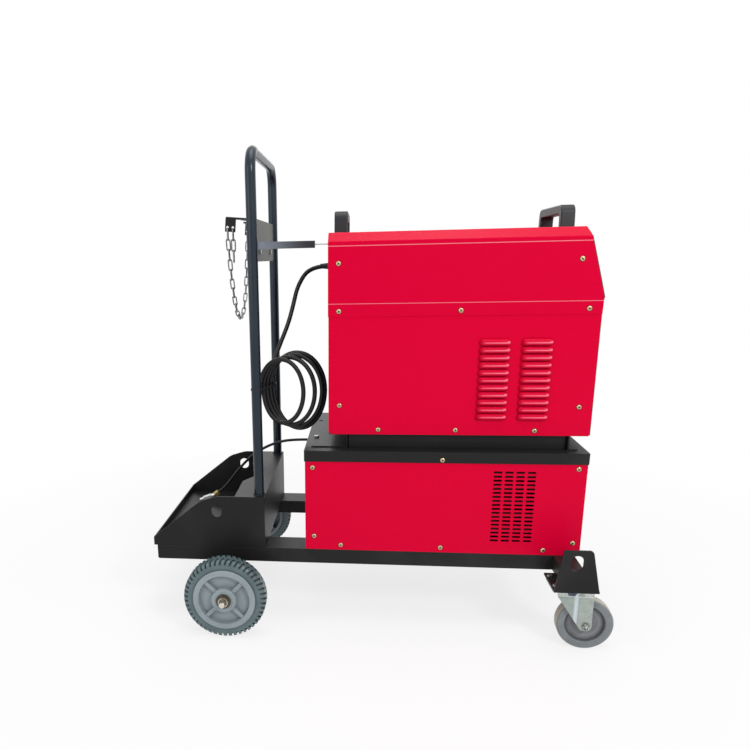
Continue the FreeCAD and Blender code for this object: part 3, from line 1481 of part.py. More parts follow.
# Rear panel with the fan's grille and frame, the breaker's body and the cable gland
def source_rear_panel():
    x0 = rear_panel_x
    x1 = x0 + source_sheet
    half = source_panel_half
    panel = block(x0, x1, -half, half, source_panel_low_z, knee_z)
    crown = plate_yz(hood_profile(source_sheet + seat_gap, knee_z - 1), x0, x1, 0)
    crown = crown.common(block(x0 - 1, x1 + 1, -half, half, knee_z - 1, source_top_z))
    panel = panel.fuse(crown).removeSplitter()
    gland_hole = rod(V(x0 - 1, gland_y, gland_z), AHEAD, gland_hole_radius, source_sheet + 2)
    breaker_hole = breaker_block(x0 - 1, x1 + 1, breaker_half_width + breaker_play,
                                 breaker_half_height + breaker_play)
    panel = panel.cut(fan_grille(x0 - 1, x1 + 1) + [gland_hole, breaker_hole])
    body = breaker_block(x0 - breaker_proud, x1 + breaker_depth, breaker_half_width, breaker_half_height)
    pocket = breaker_block(x0 - breaker_proud - 1, x0 + breaker_pocket_depth, breaker_pocket_half_width,
                           breaker_pocket_half_height)
    add("source_rear_panel", group([panel, fan_frame(x1), body.cut(pocket), cable_gland(x0)]))


def fan_grille(x0, x1):
    slots = []
    for row in range(-grille_rows, grille_rows + 1):
        rise = row * grille_pitch
        reach = math.sqrt(fan_opening ** 2 - rise ** 2)
        low = fan_z + rise - grille_slot_half
        high = fan_z + rise + grille_slot_half
        slots.append(block(x0, x1, -reach, -grille_web_half, low, high))
        slots.append(block(x0, x1, grille_web_half, reach, low, high))
    return slots


def fan_frame(x):
    half = fan_frame_half
    inner = x + fan_frame_depth
    frame = block(x, inner, -half, half, fan_z - half, fan_z + half)
    frame = frame.cut(rod(V(x - 1, 0, fan_z), AHEAD, fan_frame_bore, fan_frame_depth + 2))
    bar = block(inner - fan_bar_depth, inner, -fan_frame_bore - 1, fan_frame_bore + 1,
                fan_z - fan_bar_half, fan_z + fan_bar_half)
    hub = rod(V(inner - fan_motor_length, 0, fan_z), AHEAD, fan_motor_radius, fan_motor_length)
    shaft_hole = rod(V(x, 0, fan_z), AHEAD, fan_shaft_radius + running_fit, fan_frame_depth - fan_bar_depth)
    return frame.multiFuse([bar, hub]).removeSplitter().cut(shaft_hole)


def breaker_block(x0, x1, half_w, half_h):
    return block(x0, x1, breaker_y - half_w, breaker_y + half_w, breaker_z - half_h, breaker_z + half_h)


def cable_gland(x):
    nut = hexagon(V(x, gland_y, gland_z), V(-1, 0, 0), gland_radius, gland_nut_length)
    dome = Part.makeCone(gland_radius - 2, mains_radius + gland_wall, gland_length - gland_nut_length,
                         V(x - gland_nut_length, gland_y, gland_z), V(-1, 0, 0))
    stem = rod(V(x, gland_y, gland_z), AHEAD, gland_stem_radius, gland_stem_length)
    bore_x = x - gland_length + gland_bore_start
    bore = rod(V(bore_x, gland_y, gland_z), AHEAD, mains_radius, 4 * through)
    return nut.multiFuse([dome, stem]).removeSplitter().cut(bore)


def source_fan():
    rotor = fan_rotor(source_rotor_radius, source_rotor_hub)
    rotor.rotate(V(0, 0, 0), ACROSS, 90)
    rotor.translate(V(rear_panel_x + source_sheet + source_rotor_gap, 0, fan_z))
    add("source_fan_rotor", rotor)


def breaker_lever():
    half = breaker_lever_half
    pivot = V(rear_panel_x + breaker_pivot_depth, breaker_y, breaker_z)
    barrel = rod(pivot - ACROSS * half, ACROSS, breaker_barrel_radius, 2 * half)
    paddle = breaker_block(rear_panel_x - breaker_paddle_length, rear_panel_x, half, breaker_paddle_half)
    lever = barrel.fuse(paddle).removeSplitter()
    lever.rotate(pivot, ACROSS, breaker_rest_angle)
    add("breaker_lever", lever)


# Finned plate on four posts
def heatsink():
    x0 = heatsink_rear_x
    x1 = x0 + heatsink_length
    half = heatsink_half
    low = source_floor_z + heatsink_rise
    post = heatsink_plate
    plate = block(x0, x1, -half, half, low, low + heatsink_plate)
    fins = []
    for n in range(heatsink_fins):
        y = -half + heatsink_fin_pitch * n
        fins.append(block(x0, x1, y, y + heatsink_fin_thickness, low - heatsink_fin_depth, low + 1))
    posts = [block(x, x + post, y, y + post, source_floor_z, low + 0.5)
             for x in (x0, x1 - post) for y in (-half, half - post)]
    add("heatsink", plate.multiFuse(fins + posts).removeSplitter())


# Laminated core with two windows, and one winding round its middle limb
def transformer():
    half = transformer_half
    low = source_floor_z + transformer_low
    high = source_floor_z + transformer_high
    window_low = low + transformer_limb
    window_high = high - transformer_limb
    first = transformer_rear_x + transformer_limb
    limb_rear = first + transformer_window
    limb_front = limb_rear + transformer_centre_limb
    last = limb_front + transformer_window
    core = block(transformer_rear_x, last + transformer_limb, -half, half, low, high)
    windows = [block(x, x + transformer_window, -half - 1, half + 1, window_low, window_high)
               for x in (first, limb_front)]
    feet = [block(x, x + 24, -90, 90, source_floor_z, low + 1)
            for x in (transformer_rear_x + 8, last + transformer_limb - 32)]
    side = winding_half
    middle = block(limb_rear + 0.5, limb_front - 0.5, -side, side, window_low + 1, window_high - 1)
    winding = block(first + 1, last - 1, -side, side, window_low + 1, window_high - 1)
    limb = block(limb_rear - 1, limb_front + 1, -half, half, window_low - 6, window_high + 8)
    winding = winding.cut(middle.fuse(limb))
    add("transformer", core.cut(windows).multiFuse(feet + [winding]).removeSplitter())


# Board on four legs above the heat sink, with its row of power modules and of capacitors
def control_board():
    half = board_half
    low = source_floor_z + board_rise
    top = low + board_thickness
    leg_low = source_floor_z + heatsink_rise + heatsink_plate
    leg_xs = (board_rear_x + board_leg_inset, heatsink_rear_x + heatsink_length - board_leg_inset)
    leg_y = half - board_leg_inset
    board = block(board_rear_x, board_rear_x + board_length, -half, half, low, top)
    legs = [rod(V(x, y, leg_low), UP, board_leg_radius, low - leg_low)
            for x in leg_xs for y in (-leg_y, leg_y)]
    modules = [block(x, x + 32, -60, -20, top, top + 10) for x in (420, 480, 540)]
    capacitors = [rod(V(x, 60, top), UP, 14, 34) for x in (430, 470, 510, 550)]
    add("control_board", board.multiFuse(legs + modules + capacitors).removeSplitter())


def top_handles():
    for name, centre in zip(("rear", "front"), top_handle_centres):
        half = top_handle_half
        leg = top_handle_leg
        top = source_top_z + top_handle_height
        x0 = centre - top_handle_width / 2
        x1 = centre + top_handle_width / 2
        outer = plate_yz([(-half, source_top_z), (half, source_top_z), (half - 5, top), (-half + 5, top)],
                         x0, x1, [0, 0, 20, 20])
        under = top - top_handle_bar
        inner = plate_yz([(-half + leg, source_top_z - 1), (half - leg, source_top_z - 1),
                          (half - leg - 2, under), (-half + leg + 2, under)], x0 - 1, x1 + 1, [0, 0, 10, 10])
        handle = outer.cut(inner)
        edges = [edge for edge in handle.Edges
                 if edge.BoundBox.XLength < 0.01 and edge.BoundBox.ZMax > source_top_z + 1]
        add("top_handle_" + name, handle.makeFillet(top_handle_edge, edges))


def case_screws():
    source = []
    slope = (source_half_width - fold_half_width) / (fold_z - knee_z)
    for x, z in hood_screws:
        lean = slope * max(0, z - knee_z)
        outward = V(0, -1, slope) if z > knee_z else V(0, -1, 0)
        source.append(rod(V(x, -source_half_width + lean, z), outward, screw_radius, screw_height))
    side_face = source_half_width - source_sheet - weld_gap
    for x, z in side_screws:
        source.append(rod(V(x, -side_face, z), V(0, -1, 0), screw_radius, screw_height))
    add("source_screws", group(source + [mirrored(solid) for solid in source]))
    cooler = [rod(V(x, -cooler_half_width, z), V(0, -1, 0), screw_radius, screw_height)
              for x, z in cooler_side_screws]
    lid_face = cooler_half_width + weld_gap + cooler_sheet
    cooler += [rod(V(x, -lid_face, z), V(0, -1, 0), screw_radius, screw_height) for x, z in lid_screws]
    add("cooler_screws", group(cooler + [mirrored(solid) for solid in cooler]))


# Path of a free cord: straight runs joined by arcs as large as the runs allow
def cord_path(name, points, radius):
    edges = []
    here = points[0]
    for n in range(1, len(points) - 1):
        back = points[n - 1] - points[n]
        ahead = points[n + 1] - points[n]
        turn = math.pi - back.getAngle(ahead)
        reach = 0.45 * min(back.Length, ahead.Length)
        bend = reach / math.tan(turn / 2)
        back.normalize()
        ahead.normalize()
        start = points[n] + back * reach
        end = points[n] + ahead * reach
        toward = (back + ahead).normalize()
        middle = points[n] + toward * (bend / math.cos(turn / 2) - bend)
        edges.append(Part.LineSegment(here, start).toShape())
        edges.append(Part.Arc(start, middle, end).toShape())
        print(name, "bend", n, "radius", round(bend, 1), "turn", round(math.degrees(turn), 1))
        here = end
    edges.append(Part.LineSegment(here, points[-1]).toShape())
    path = Part.Wire(edges)
    section = Part.Wire([Part.makeCircle(radius, points[0], points[1] - points[0])])
    tube = path.makePipeShell([section], True, False)
    report_cord(name, path, radius, tube)
    return tube


def report_cord(name, path, radius, tube):
    swept = math.pi * radius ** 2 * path.Length
    print(name, "length", round(path.Length, 1))
    print(name, "volume", round(tube.Volume), "section times length", round(swept))


# Two tangent arcs from one point and direction to another
def biarc(p0, t0, p1, t1):
    gap = p1 - p0
    both = t0 + t1
    fall = 2 * (1 - t0.dot(t1))
    cross = gap.dot(both)
    reach = (-cross + math.sqrt(cross * cross + fall * gap.dot(gap))) / fall
    joint = (p0 + t0 * reach + p1 - t1 * reach) * 0.5
    arcs = []
    for start, direction, end in ((p0, t0, joint), (p1, t1 * -1, joint)):
        chord = end - start
        sweep = direction.getAngle(chord)
        side = (direction * chord.Length - chord * math.cos(sweep)).normalize()
        sagitta = chord.Length / 2 * math.tan(sweep / 2)
        arcs.append((start, start + chord * 0.5 + side * sagitta, end))
    first = Part.Arc(*arcs[0]).toShape()
    start, middle, end = arcs[1]
    return [first, Part.Arc(end, middle, start).toShape()]


# Corner stations of the coil at its left, bottom, right and top, layer by layer to the front
def coil_stations():
    stations = []
    for turn in range(coil_turns + 1):
        left = coil_left_x + coil_left_step * turn
        right = coil_right_x + coil_right_step * turn + coil_right_growth * turn * turn
        bottom = coil_bottom_z + coil_bottom_step * turn
        top = coil_top_z + coil_top_step * turn
        middle = (left + right) / 2
        y = coil_back_y - coil_layer * turn
        drift = coil_layer / 4
        lean = V(0, -drift / 60, 0)
        stations.append((V(left, y, coil_middle_z), (V(0, 0, -1) + lean).normalize()))
        if turn == coil_turns:
            break
        stations.append((V(middle, y - drift, bottom), (V(1, 0, 0) + lean).normalize()))
        right_spot = V(right, y - 2 * drift, coil_middle_z - coil_right_drop)
        top_spot = V(middle - coil_top_shift, y - 3 * drift, top)
        stations.append((right_spot, (V(0, 0, 1) + lean).normalize()))
        stations.append((top_spot, (V(-1, 0, 0) + lean).normalize()))
    return stations


def coil_start():
    place, direction = coil_stations()[0]
    return place - direction * (2 * mains_radius)


def mains_coil():
    stations = coil_stations()
    lead = 2 * mains_radius
    first, first_way = stations[0]
    last, last_way = stations[-1]
    edges = [Part.LineSegment(first - first_way * lead, first).toShape()]
    for (p0, t0), (p1, t1) in zip(stations, stations[1:]):
        edges += biarc(p0, t0, p1, t1)
    edges.append(Part.LineSegment(last, last + last_way * lead).toShape())
    path = Part.Wire(edges)
    section = Part.Wire([Part.makeCircle(mains_radius, first - first_way * lead, first_way)])
    coil = path.makePipeShell([section], True, False)
    report_cord("mains_coil", path, mains_radius, coil)
    print("mains_coil least gap to itself", round(least_gap(path), 2))
    add("mains_coil", coil)


# Least gap between two turns, left out where they are neighbours on the path
def least_gap(path):
    count = 400
    points = path.discretize(count)
    skip = int(8 * mains_radius / (path.Length / (count - 1)))
    distances = [points[i].distanceToPoint(points[j])
                 for i in range(count) for j in range(i + skip, count)]
    return min(distances) - 2 * mains_radius


# Route of the mains cable from its gland to the coil
def mains_route():
    gland_end = V(rear_panel_x - gland_length, gland_y, gland_z)
    start = coil_start()
    lead_in = start - coil_stations()[0][1] * mains_lead_in
    return [gland_end, V(192, gland_y, gland_z), V(160, 52, 852), V(150, 16, 800), V(141, -25, 757),
            V(124, -70, 710), lead_in, start]


def hose_route():
    start_x = cooler_panel_rear_x - bulkhead_length
    return [V(start_x, hose_start_y, hose_start_z), V(132, hose_start_y, hose_start_z), V(82, 99, 400),
            V(34, 112, 374), V(-8, 119, 339), V(-44, 122, 296), V(-76, 120, 254), V(-96, 117.5, 239)]


def cords():
    add("mains_cable", cord_path("mains_cable", mains_route(), mains_radius))
    mains_coil()
    route = hose_route()
    add("gas_hose", cord_path("gas_hose", route, hose_radius))
    end = route[-1]
    along = (route[-1] - route[-2]).normalize()
    nut = hexagon(end, along, fitting_nut_radius, fitting_nut_length)
    bend = end + along * (fitting_nut_length - 1)
    slope = fitting_slope / fitting_slope.Length
    neck = rod(bend, slope, fitting_neck_radius, fitting_neck_length)
    body_start = bend + slope * fitting_neck_length
    body = hexagon(body_start, slope, fitting_body_radius, fitting_body_length)
    nipple_start = body_start + slope * fitting_body_length
    nipple = rod(nipple_start, slope, fitting_nipple_radius, fitting_nipple_length)
    elbow = neck.multiFuse([body, nipple]).removeSplitter().cut(nut)
    add("hose_fitting", group([nut, elbow]))


# Tie strap round the near handle tube and the left side of the coil
def coil_strap():
    tube = V(handle_x, -handle_y, strap_z)
    bundle = V(bundle_x, bundle_y, strap_z)
    add("coil_strap", strap_ring(tube, handle_radius + seat_gap, bundle, bundle_radius))


def strap_ring(first, first_radius, second, second_radius):
    rings = []
    for extra in (strap_thickness, 0):
        r0 = first_radius + extra
        r1 = second_radius + extra
        axis = second - first
        distance = axis.Length
        axis.normalize()
        side = V(-axis.y, axis.x, 0)
        tilt = math.asin((r0 - r1) / distance)
        out_left = side * math.cos(tilt) + axis * math.sin(tilt)
        out_right = side * -math.cos(tilt) + axis * math.sin(tilt)
        a0 = first + out_left * r0
        a1 = first + out_right * r0
        b0 = second + out_left * r1
        b1 = second + out_right * r1
        edges = [Part.Arc(a0, first - axis * r0, a1).toShape(), Part.LineSegment(a1, b1).toShape(),
                 Part.Arc(b1, second + axis * r1, b0).toShape(), Part.LineSegment(b0, a0).toShape()]
        rings.append(Part.Face(Part.Wire(edges)).extrude(V(0, 0, strap_width)))
    ring = rings[0].cut(rings[1])
    ring.translate(V(0, 0, -strap_width / 2))
    return ring


def build():
    rails_and_tubes()
    caster_brackets()
    bottle_tray()
    push_handle()
    bottle_yoke()
    bottle_chain()
    stay_arm()
    rear_axle()
    rear_wheels()
    casters()
    cart_bolts()
    cooler_base()
    cooler_side()
    cooler_rear_panel()
    cooler_front_panel()
    cooler_switch()
    cooler_lid()
    coolant_tank()
    filler_cap()
    coolant_pump()
    radiator()
    cooler_fan()
    unit_brackets()
    source_side()
    source_hood()
    source_base()
    source_front_panel()
    current_knob()
    mode_switch()
    panel_sockets()
    source_rear_panel()
    source_fan()
    breaker_lever()
    heatsink()
    transformer()
    control_board()
    top_handles()
    case_screws()
    cords()
    coil_strap()


# The origin is the middle of the underside of the box round everything but the cords
def export():
    box = FreeCAD.BoundBox()
    for name, shape in pieces.items():
        if name not in cord_names:
            box.add(shape.optimalBoundingBox(False, False))
    shift = V(-(box.XMin + box.XMax) / 2, -(box.YMin + box.YMax) / 2, -box.ZMin)
    print("shift to origin", [round(value, 3) for value in shift])
    size = [round(value, 1) for value in (box.XLength, box.YLength, box.ZLength)]
    print("box", size, "pieces", len(pieces))
    for name, hole_in in (("chain", chain_hole_in), ("tail", tail_hole_in)):
        print(name, "axis", [round(value, 3) for value in tab_pivot(hole_in) + shift])
    os.makedirs("parts", exist_ok=True)
    for name, shape in pieces.items():
        moved = shape.copy()
        moved.translate(shift)
        moved.exportStep("parts/" + name + ".step")


build()
export()
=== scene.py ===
import bpy
import bmesh
import json
import math
import numpy
from mathutils import Matrix, Vector


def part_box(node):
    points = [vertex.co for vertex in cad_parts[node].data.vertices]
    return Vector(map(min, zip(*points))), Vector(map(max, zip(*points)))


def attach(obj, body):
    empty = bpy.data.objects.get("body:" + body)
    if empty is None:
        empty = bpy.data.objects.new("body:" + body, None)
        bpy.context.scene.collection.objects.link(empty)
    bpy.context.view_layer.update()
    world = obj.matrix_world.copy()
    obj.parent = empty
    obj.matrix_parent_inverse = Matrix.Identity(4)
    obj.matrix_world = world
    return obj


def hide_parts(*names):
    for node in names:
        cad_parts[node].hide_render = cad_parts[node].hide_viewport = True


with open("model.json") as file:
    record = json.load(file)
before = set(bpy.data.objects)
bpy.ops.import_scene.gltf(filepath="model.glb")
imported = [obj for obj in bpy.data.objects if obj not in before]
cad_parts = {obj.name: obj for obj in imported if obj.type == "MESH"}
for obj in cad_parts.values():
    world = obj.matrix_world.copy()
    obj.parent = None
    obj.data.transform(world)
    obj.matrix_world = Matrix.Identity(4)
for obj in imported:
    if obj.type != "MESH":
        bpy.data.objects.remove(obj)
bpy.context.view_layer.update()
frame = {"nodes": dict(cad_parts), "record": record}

nodes = frame["nodes"]
bodyOf = {}
for bodyName, members in frame["record"]["behaviour"]["bodies"].items():
    for member in members:
        bodyOf[member] = bodyName
print("frame loaded:", len(nodes), "CAD nodes")


def middleOf(name):  # the middle of a node's box
    low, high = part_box(name)
    return [(first + second) / 2 for first, second in zip(low, high)]


def topOf(name):  # how high a node reaches
    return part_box(name)[1][2]


rearAxleX = round(middleOf("rear_axle")[0], 6)


def atX(x):  # millimetres ahead of the rear axle, in the frame's metres
    return x / 1000 + rearAxleX


def at(x, y, z):  # a point in millimetres from the floor under the rear axle, in the frame's metres
    return Vector((atX(x), y / 1000, z / 1000))


# camera, at the photograph's viewpoint
cameraLook = {
    "place": (341.27, -1927.84, 921.65),
    "right": (0.99260, 0.11959, -0.02094),
    "up": (-0.01236, 0.27115, 0.96246),
    "ahead": (-0.12078, 0.95508, -0.27062),
    "focalPixels": 717.07,
    "centre": (276.21, 460.01),
    "picture": 750,
    "sensor": 36,
    "clip": (0.05, 60),
}


def makeCamera():
    c = cameraLook
    data = bpy.data.cameras.new("viewCamera")
    camera = bpy.data.objects.new("viewCamera", data)
    bpy.context.scene.collection.objects.link(camera)
    data.sensor_width = c["sensor"]
    data.lens = c["focalPixels"] / c["picture"] * c["sensor"]
    data.shift_x = 0.5 - c["centre"][0] / c["picture"]
    data.shift_y = c["centre"][1] / c["picture"] - 0.5
    data.clip_start, data.clip_end = c["clip"]
    axes = Matrix((c["right"], c["up"], [-value for value in c["ahead"]])).transposed()
    camera.matrix_world = Matrix.Translation(at(*c["place"])) @ axes.to_quaternion().to_matrix().to_4x4()
    bpy.context.scene.camera = camera


makeCamera()
print("camera set")


# shader maths: a value of a shader tree, on which sums and products add their own nodes
class Val:
    def __init__(self, tree, socket):
        self.tree = tree
        self.socket = socket

    def maths(self, operation, *others):
        return self.tree.maths(operation, self, *others)

    def __add__(self, other):
        return self.maths("ADD", other)

    def __radd__(self, other):
        return self.tree.maths("ADD", other, self)

    def __sub__(self, other):
        return self.maths("SUBTRACT", other)

    def __rsub__(self, other):
        return self.tree.maths("SUBTRACT", other, self)

    def __mul__(self, other):
        return self.maths("MULTIPLY", other)

    def __rmul__(self, other):
        return self.tree.maths("MULTIPLY", other, self)

    def __truediv__(self, other):
        return self.maths("DIVIDE", other)

    def __rtruediv__(self, other):
        return self.tree.maths("DIVIDE", other, self)

    def __gt__(self, other):
        return self.maths("GREATER_THAN", other)

    def __lt__(self, other):
        return self.maths("LESS_THAN", other)

    def __abs__(self):
        return self.maths("ABSOLUTE")

    def root(self):
        return self.maths("POWER", 0.5)

    def clamped(self):
        return self.tree.node("ShaderNodeClamp", {}, {"Value": self})

    def ramp(self, low=0.3, high=0.7):  # 0 below low and 1 above high, smooth between
        inputs = {"Value": self, "From Min": low, "From Max": high}
        return self.tree.node("ShaderNodeMapRange", {"interpolation_type": "SMOOTHSTEP"}, inputs)

    def near(self, level, width):  # 1 at a level, falling to 0 a width away from it
        return 1 - (abs(self - level) / width).clamped()

    def swing(self, amount):  # a noise turned into a change of up to half the amount each way
        return (self - 0.5) * amount


# a tree of shader nodes, and the one method that adds any of them
class NodeTree:
    def __init__(self, tree):
        self.tree = tree
        self.tree.nodes.clear()

    def feed(self, socket, value):
        if isinstance(value, Val):
            self.tree.links.new(value.socket, socket)
        elif socket.type == "RGBA" and len(value) == 3:
            socket.default_value = (*value, 1)
        else:
            socket.default_value = value

    def add(self, kind, settings=None, inputs=None):  # any node: its settings come first, then what goes in
        made = self.tree.nodes.new(kind)
        for key, value in (settings or {}).items():
            setattr(made, key, value)
        for key, value in (inputs or {}).items():
            self.feed(made.inputs[key], value)
        return made

    def node(self, kind, settings=None, inputs=None, output=0):
        return Val(self, self.add(kind, settings, inputs).outputs[output])

    def maths(self, operation, *values):
        return self.node("ShaderNodeMath", {"operation": operation}, dict(enumerate(values)))


# a material, and what the finishes are made from
class Shade(NodeTree):
    def __init__(self, name):
        self.material = bpy.data.materials.new(name)
        self.material.use_nodes = True
        super().__init__(self.material.node_tree)
        self.surface = self.add("ShaderNodeBsdfPrincipled")
        self.output = self.add("ShaderNodeOutputMaterial", {}, {0: Val(self, self.surface.outputs[0])})

    def finish(self, **values):
        for key, value in values.items():
            self.feed(self.surface.inputs[key.replace("_", " ")], value)
        return self.material

    def place(self):
        return self.node("ShaderNodeTexCoord", {}, {}, "Object")

    def axis(self, name):
        return self.node("ShaderNodeSeparateXYZ", {}, {0: self.place()}, name)

    def vectors(self, operation, *values, output=0):
        return self.node("ShaderNodeVectorMath", {"operation": operation}, dict(enumerate(values)), output)

    def offset(self, middle):  # from a fixed point to the place that is shaded
        return self.vectors("SUBTRACT", self.place(), middle)

    def dot(self, vector, way):
        return self.vectors("DOT_PRODUCT", vector, way, output="Value")

    def length(self, vector):
        return self.vectors("LENGTH", vector, output="Value")

    def flatLength(self, vector, kept):  # the length along the axes whose factor is 1
        return self.length(self.vectors("MULTIPLY", vector, kept))

    def around(self, middle, across):  # how far along an axle from its middle, and how far out from it
        offset = self.offset(middle)
        side = self.dot(offset, across)
        length = self.length(offset)
        return side, (length * length - side * side).root()

    def noise(self, scale, detail=3, roughness=0.6, stretch=None):
        where = self.place()
        if stretch:
            where = self.node("ShaderNodeMapping", {}, {0: where, "Scale": stretch})
        inputs = {"Vector": where, "Scale": scale, "Detail": detail, "Roughness": roughness}
        return self.node("ShaderNodeTexNoise", {}, inputs, "Fac")

    def cells(self, scale):
        return self.node("ShaderNodeTexVoronoi", {}, {"Vector": self.place(), "Scale": scale}, "Distance")

    def mix(self, amount, first, second):
        inputs = {0: amount, 6: first, 7: second}  # a colour Mix node's own sockets, and 2 is its result
        return self.node("ShaderNodeMix", {"data_type": "RGBA"}, inputs, 2)

    def bump(self, height, depth):
        return self.node("ShaderNodeBump", {}, {"Strength": 1.0, "Distance": depth, "Height": height})

    def hollow(self, reach):  # a mask for painted shade: 0 on open faces, rising to 1 in corners and recesses
        return 1 - self.node("ShaderNodeAmbientOcclusion", {"samples": 6}, {"Distance": reach}, "AO")


def tint(colour, factor):
    return tuple(min(1, channel * factor) for channel in colour)


def tints(colour, factors):
    return [tint(colour, factor) for factor in factors]


orangePeel = {"scale": 420, "detail": 3, "roughness": 0.55}  # the fine ripple of a baked coat


# powder coat: a fine orange peel, a little settled dust and a slow change of gloss
coatLook = {
    "cloud": 3.5, "speck": 900, "specks": (0.94, 1.06), "dusty": (0.45, 0.75), "foldShare": 0.75,
    "cloudGloss": 0.1, "peelGloss": 0.06,
}


def powderCoat(name, colour, gloss, shine=0.25, peel=0.00006, dust=0.04, dustColour=(0.5, 0.5, 0.48),
               sheen=(1, 1, 1), folds=(), foldColour=(0.95, 0.42, 0.5)):
    s = Shade(name)
    c = coatLook
    cloud = s.noise(c["cloud"], detail=4)
    fine = s.noise(**orangePeel)
    base = s.mix(s.noise(c["speck"], detail=2, roughness=0.5).ramp(), *tints(colour, c["specks"]))
    base = s.mix((cloud.ramp(*c["dusty"]) * dust).clamped(), base, dustColour)
    for level, width in folds:  # a painted highlight along a fold or an edge, or painted shade along a seam where the line's colour is dark
        base = s.mix(s.axis("Z").near(level, width) * c["foldShare"], base, foldColour)
    rough = gloss + cloud.swing(c["cloudGloss"]) + fine.swing(c["peelGloss"])
    return s.finish(Base_Color=base, Roughness=rough, Specular_IOR_Level=shine, Specular_Tint=(*sheen, 1),
                    Normal=s.bump(fine, depth=peel))


# plated metal: blotchy, with a faint spangle and fine scratches, and painted shade in corners and recesses
plateLook = {
    "mottle": (0.35, 0.65), "spangle": 220, "spangleShare": 0.35, "spangleTint": 0.72,
    "hollowShare": 0.7, "hollowTint": 0.25, "scratches": 700, "cloudGloss": 0.2, "scratchGloss": 0.1,
}


def plated(name, colour, warm, rough=0.32, metal=0.85, blotch=60, reach=0.012):
    s = Shade(name)
    c = plateLook
    cloud = s.noise(blotch, detail=4)
    lines = s.noise(c["scratches"], detail=2)
    mixed = s.mix(cloud.ramp(*c["mottle"]), colour, warm)
    mixed = s.mix(s.cells(c["spangle"]) * c["spangleShare"], mixed, tint(colour, c["spangleTint"]))
    # painted shade in corners and recesses
    mixed = s.mix(s.hollow(reach) * c["hollowShare"], mixed, tint(colour, c["hollowTint"]))
    rough = rough + cloud.swing(c["cloudGloss"]) + lines.swing(c["scratchGloss"])
    return s.finish(Base_Color=mixed, Metallic=metal, Roughness=rough, Normal=s.bump(lines, depth=0.00004))


# moulded plastic: a fine leather-like grain, and painted shade in corners and recesses
mouldLook = {
    "cloud": 12, "mottle": (0.93, 1.08), "hollowReach": 0.02, "hollowTint": 0.35, "shine": 0.35,
    "grainGloss": 0.12, "cloudGloss": 0.1,
}


def moulded(name, colour, rough, grain=520, depth=0.00008, hollowShare=0.35):
    s = Shade(name)
    c = mouldLook
    cells = s.cells(grain)
    cloud = s.noise(c["cloud"])
    base = s.mix(cloud.ramp(), *tints(colour, c["mottle"]))
    # painted shade in corners and recesses
    base = s.mix(s.hollow(c["hollowReach"]) * hollowShare, base, tint(colour, c["hollowTint"]))
    rough = rough + cells.swing(c["grainGloss"]) + cloud.swing(c["cloudGloss"])
    return s.finish(Base_Color=base, Roughness=rough, Specular_IOR_Level=c["shine"],
                    Normal=s.bump(cells, depth=depth))


# rubber: matt and mottled, a little dusty, and painted shade in the grooves of a tread
rubberLook = {
    "cloud": 25, "dusty": (0.35, 0.7), "fine": 650, "fineShare": 0.3, "fineTint": 0.85,
    "grooveReach": 0.006, "grooveTint": 0.12, "fineGloss": 0.12,
}


def rubberLike(name, colour, rough, pale, dust, shine=0.3, groove=0.0):
    s = Shade(name)
    c = rubberLook
    fine = s.noise(c["fine"])
    cloud = s.noise(c["cloud"], detail=5, roughness=0.65)
    base = s.mix(cloud.ramp(*c["dusty"]) * dust, colour, pale)
    base = s.mix(fine.ramp() * c["fineShare"], base, tint(colour, c["fineTint"]))
    # painted shade in the grooves of a tread
    if groove:
        hollow = (s.hollow(c["grooveReach"]) * groove).clamped()
        base = s.mix(hollow, base, tint(colour, c["grooveTint"]))
    return s.finish(Base_Color=base, Roughness=rough + fine.swing(c["fineGloss"]), Specular_IOR_Level=shine,
                    Normal=s.bump(fine, depth=0.00006))


